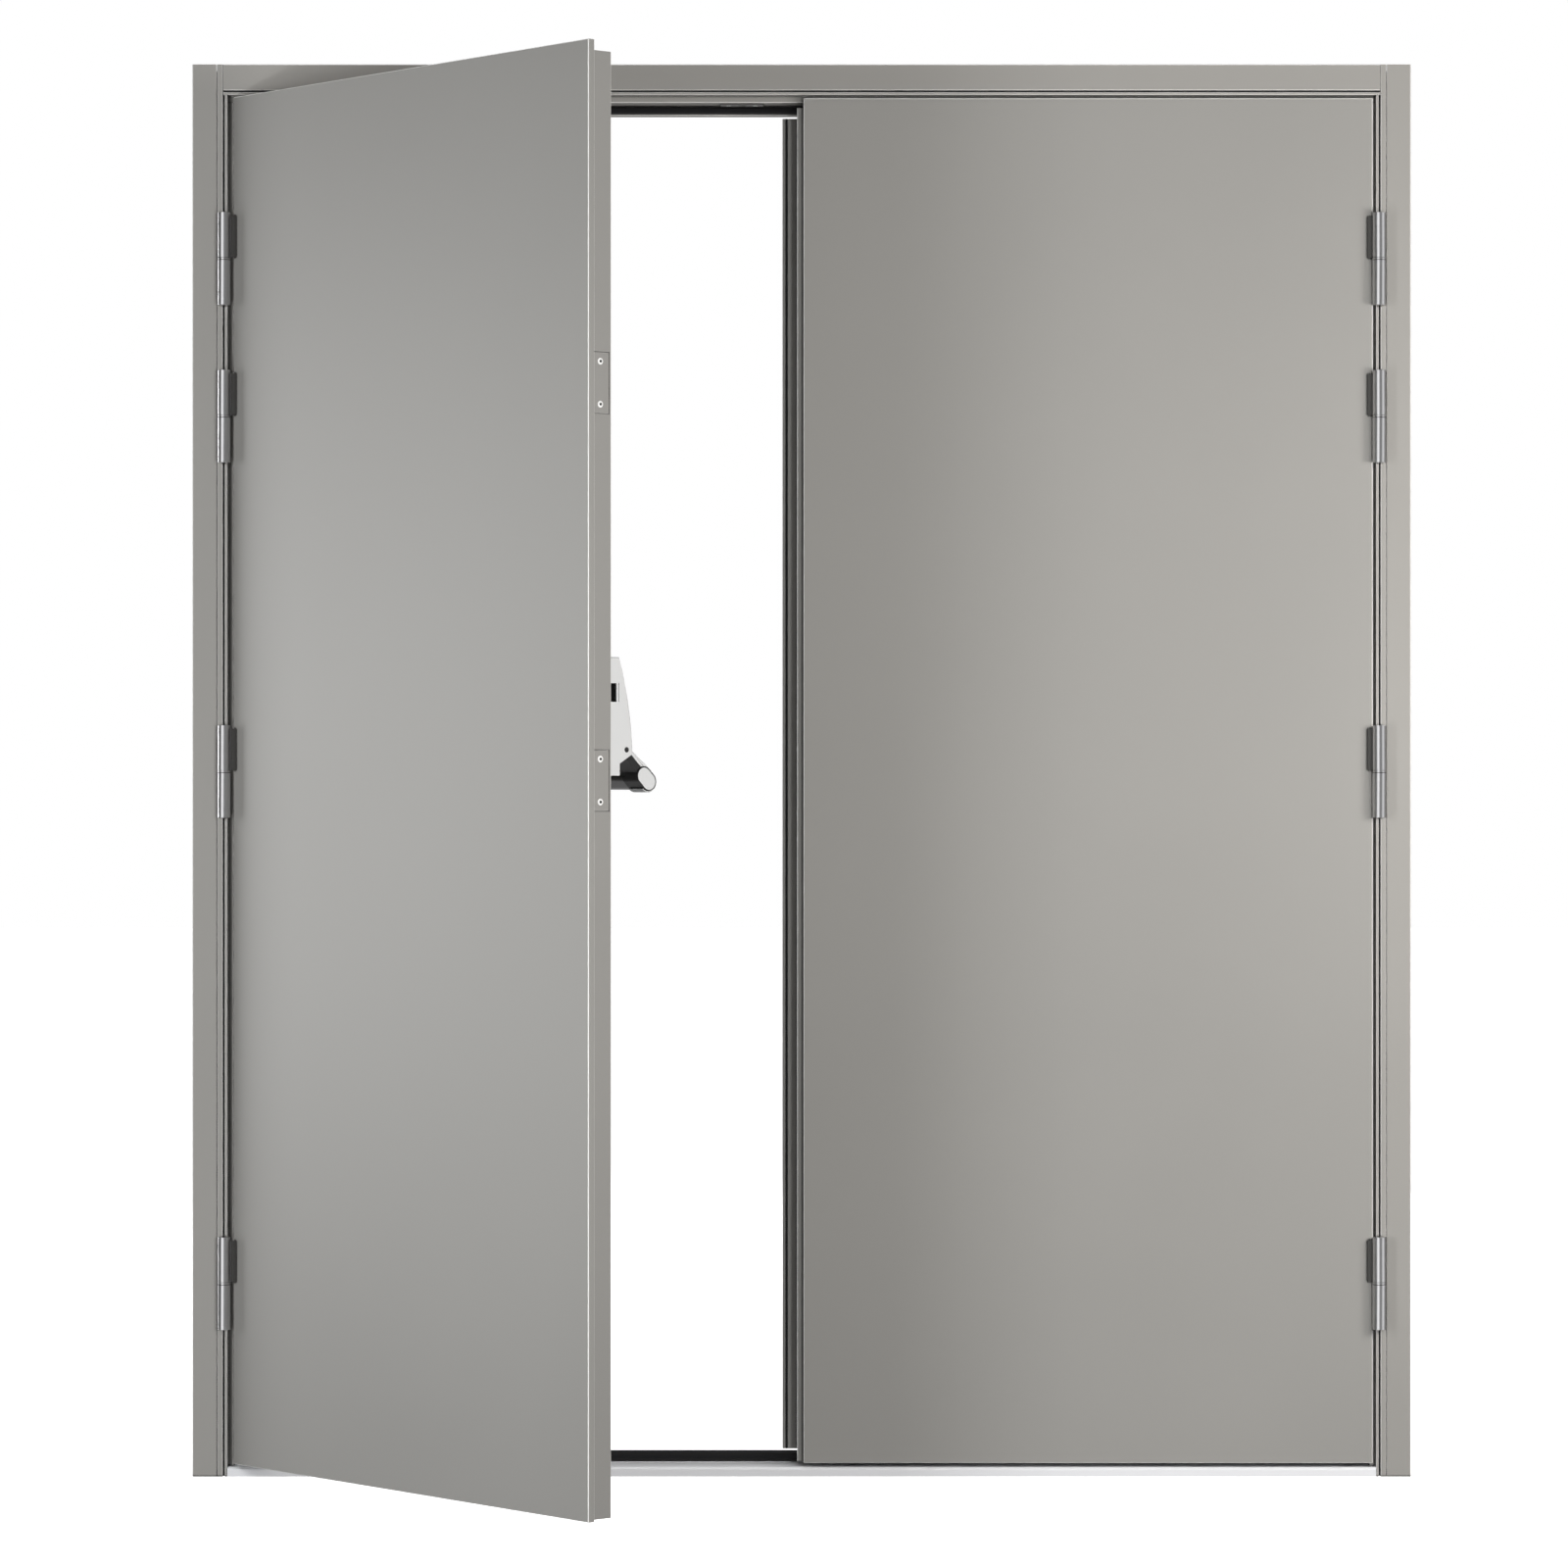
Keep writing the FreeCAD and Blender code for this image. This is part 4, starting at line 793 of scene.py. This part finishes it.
def make_floor():
    """A wide white plane under the sill for the camera alone, dark where the trims stand over it."""
    bpy.ops.object.select_all(action="DESELECT")
    bpy.ops.mesh.primitive_plane_add(size=FLOOR_SIZE, location=(0, 0, 0))
    floor = bpy.context.object
    floor.name = "studio_floor"
    material, tree, shader = start_finish("Studio floor")
    hollow = in_trim_hollow(tree)
    tree.links.new(blend_colour(tree, hollow, PALE, UNLIT), shader.inputs["Base Color"])
    tree.links.new(blend_colour(tree, hollow, WHITE, UNLIT), shader.inputs["Emission Color"])
    shader.inputs["Roughness"].default_value = FLOOR_ROUGH
    shader.inputs["Emission Strength"].default_value = 1.0
    clear = add_node(tree, "ShaderNodeBsdfTransparent")
    choice = shown_to("Is Camera Ray", tree, shader.outputs["BSDF"], clear.outputs["BSDF"])
    tree.links.new(choice, tree.nodes["Material Output"].inputs["Surface"])
    floor.data.materials.append(material)


make_floor()
print("floor laid:", FLOOR_SIZE, "m wide")

# %% [markdown]
# ## Surround
# Satin metal looks only as good as what it mirrors. The camera sees plain white behind the door, but a
# reflection sees tall panels with dark gaps between them, and white below, which give each hinge barrel its
# bright and dark bands. The panels are a ramp over the compass direction. To all other light the surround is
# a dim room, because the lamps light the paint.

# %% Hang the surround
PANEL_STRENGTH = 1.2
ROOM_STRENGTH = 0.05
BELOW_FROM, BELOW_FULL = -0.25, -0.6
PANELS = (
    (-180, 0.03), (-48, 0.04), (-38, 1.25), (-10, 1.25), (0, 0.2), (38, 0.2), (50, 0.85), (84, 0.85),
    (96, 0.05), (180, 0.03),
)


def panel_ramp(tree):
    """Brightness of the tall panels by compass direction, and of the white floor below them."""
    where = add_node(tree, "ShaderNodeTexCoord")
    split = add_node(tree, "ShaderNodeSeparateXYZ")
    front = add_node(tree, "ShaderNodeMath", operation="MULTIPLY")
    front.inputs[1].default_value = -1.0
    compass = add_node(tree, "ShaderNodeMath", operation="ARCTAN2")
    turn = add_node(tree, "ShaderNodeMapRange")
    turn.inputs["From Min"].default_value = -math.pi
    turn.inputs["From Max"].default_value = math.pi
    ramp = add_node(tree, "ShaderNodeValToRGB")
    link = tree.links.new
    link(where.outputs["Generated"], split.inputs["Vector"])
    link(split.outputs["Y"], front.inputs[0])
    link(split.outputs["X"], compass.inputs[0])
    link(front.outputs["Value"], compass.inputs[1])
    link(compass.outputs["Value"], turn.inputs["Value"])
    link(turn.outputs["Result"], ramp.inputs["Fac"])
    stops = ramp.color_ramp.elements
    for stop in list(stops)[1:]:
        stops.remove(stop)
    for number, (degrees, level) in enumerate(PANELS):
        stop = stops[0] if number == 0 else stops.new(1.0)
        stop.position = (degrees + 180) / 360
        stop.color = (level, level, level, 1.0)
    below = add_node(tree, "ShaderNodeMapRange", interpolation_type="SMOOTHSTEP")
    below.inputs["From Min"].default_value = BELOW_FROM
    below.inputs["From Max"].default_value = BELOW_FULL
    link(split.outputs["Z"], below.inputs["Value"])
    return blend_colour(tree, below.outputs["Result"], ramp.outputs["Color"], WHITE)


def make_surround():
    """White behind the door for the camera, tall panels for what is glossy, and a dim room otherwise."""
    world = bpy.data.worlds.new("White surround")
    bpy.context.scene.world = world
    world.use_nodes = True
    tree = world.node_tree
    room = tree.nodes["Background"]
    room.inputs["Strength"].default_value = ROOM_STRENGTH
    room.inputs["Color"].default_value = (*WHITE, 1.0)
    panels = add_node(tree, "ShaderNodeBackground")
    tree.links.new(panel_ramp(tree), panels.inputs["Color"])
    panels.inputs["Strength"].default_value = PANEL_STRENGTH
    backdrop = add_node(tree, "ShaderNodeBackground")
    backdrop.inputs["Color"].default_value = (*WHITE, 1.0)
    unseen = shown_to("Is Glossy Ray", tree, panels.outputs["Background"], room.outputs["Background"])
    choice = shown_to("Is Camera Ray", tree, backdrop.outputs["Background"], unseen)
    tree.links.new(choice, tree.nodes["World Output"].inputs["Surface"])


make_surround()
print("surround ready, with", len(PANELS), "panel edges")

# %% [markdown]
# ## Soft boxes
# A large box on the left, behind the line of the frame, grazes the open leaf, and it alone is mirrored in the
# gloss. Small boxes in front lift the left jamb, the sill's left end, the open leaf's edge and the shut leaf,
# and warmer ones the right side. All of these are hidden from reflections, or each would be a bright spot on
# the satin paint. Two fills, behind and above, keep the back and the top from being black in other views.

# %% Hang the soft boxes
def soft_box(name, place, aim, width, height, power, tint, mirrored=False):
    """A rectangular studio light at a place, turned to an aim point and, if mirrored, seen in the gloss."""
    lamp = bpy.data.lights.new(name, "AREA")
    lamp.shape = "RECTANGLE"
    lamp.size = width
    lamp.size_y = height
    lamp.energy = power
    lamp.color = tint
    box = bpy.data.objects.new(name, lamp)
    bpy.context.scene.collection.objects.link(box)
    box.location = place
    box.rotation_euler = (Vector(aim) - Vector(place)).to_track_quat("-Z", "Y").to_euler()
    box.visible_camera = False
    box.visible_glossy = mirrored


NEUTRAL, WARM = (1.0, 1.0, 0.99), (1.0, 0.965, 0.92)
LAMPS = (
    ("back_left", (-6.8, 2.8, 1.2), (-0.6, -0.35, 1.05), 2.9, 2.6, 195, NEUTRAL, True),
    ("left_front", (-1.7, -2.2, 1.5), (-0.9, 0.0, 1.4), 0.5, 0.7, 17, NEUTRAL),
    ("low_left", (-1.9, -2.6, 0.35), (-0.6, -0.1, 0.1), 0.6, 0.4, 30, NEUTRAL),
    ("front_right", (1.2, -5.0, 1.2), (-0.25, -0.65, 1.1), 0.6, 1.2, 98, NEUTRAL),
    ("right_near", (1.5, -2.0, 1.25), (0.95, 0.0, 1.2), 0.7, 0.8, 18, WARM),
    ("right_side", (2.4, -1.7, 1.25), (0.95, 0.0, 1.2), 0.7, 0.9, 36, WARM),
    ("back_fill", (2.2, 5.0, 1.9), (0.0, 0.0, 1.0), 2.5, 2.2, 250, NEUTRAL),
    ("top_fill", (0.0, -0.5, 6.0), (0.0, 0.0, 1.0), 2.0, 1.0, 100, NEUTRAL),
)
for lamp in LAMPS:
    soft_box(*lamp)
print("soft boxes ready:", len(LAMPS))

# %% [markdown]
# ## Camera
# Upright edges stay parallel and the head is level, so the camera stands square to the frame at half its
# height. It is far back with a long lens, and a small shift sets the door in the frame of the picture.

# %% Set the camera
CAMERA_BACK = 8.14
CAMERA_HEIGHT = 1.035
LENS_MM = 125.08
PICTURE_SHIFT = (-0.01125, -0.0022)
camera = bpy.data.objects.new("Camera", bpy.data.cameras.new("Camera"))
bpy.context.scene.collection.objects.link(camera)
camera.location = (0, -CAMERA_BACK, CAMERA_HEIGHT)
camera.rotation_euler = (math.radians(90), 0, 0)
camera.data.lens = LENS_MM
camera.data.shift_x, camera.data.shift_y = PICTURE_SHIFT
bpy.context.scene.camera = camera
bpy.context.scene.view_settings.view_transform = "Standard"
print("camera", CAMERA_BACK, "m back with a", LENS_MM, "mm lens")
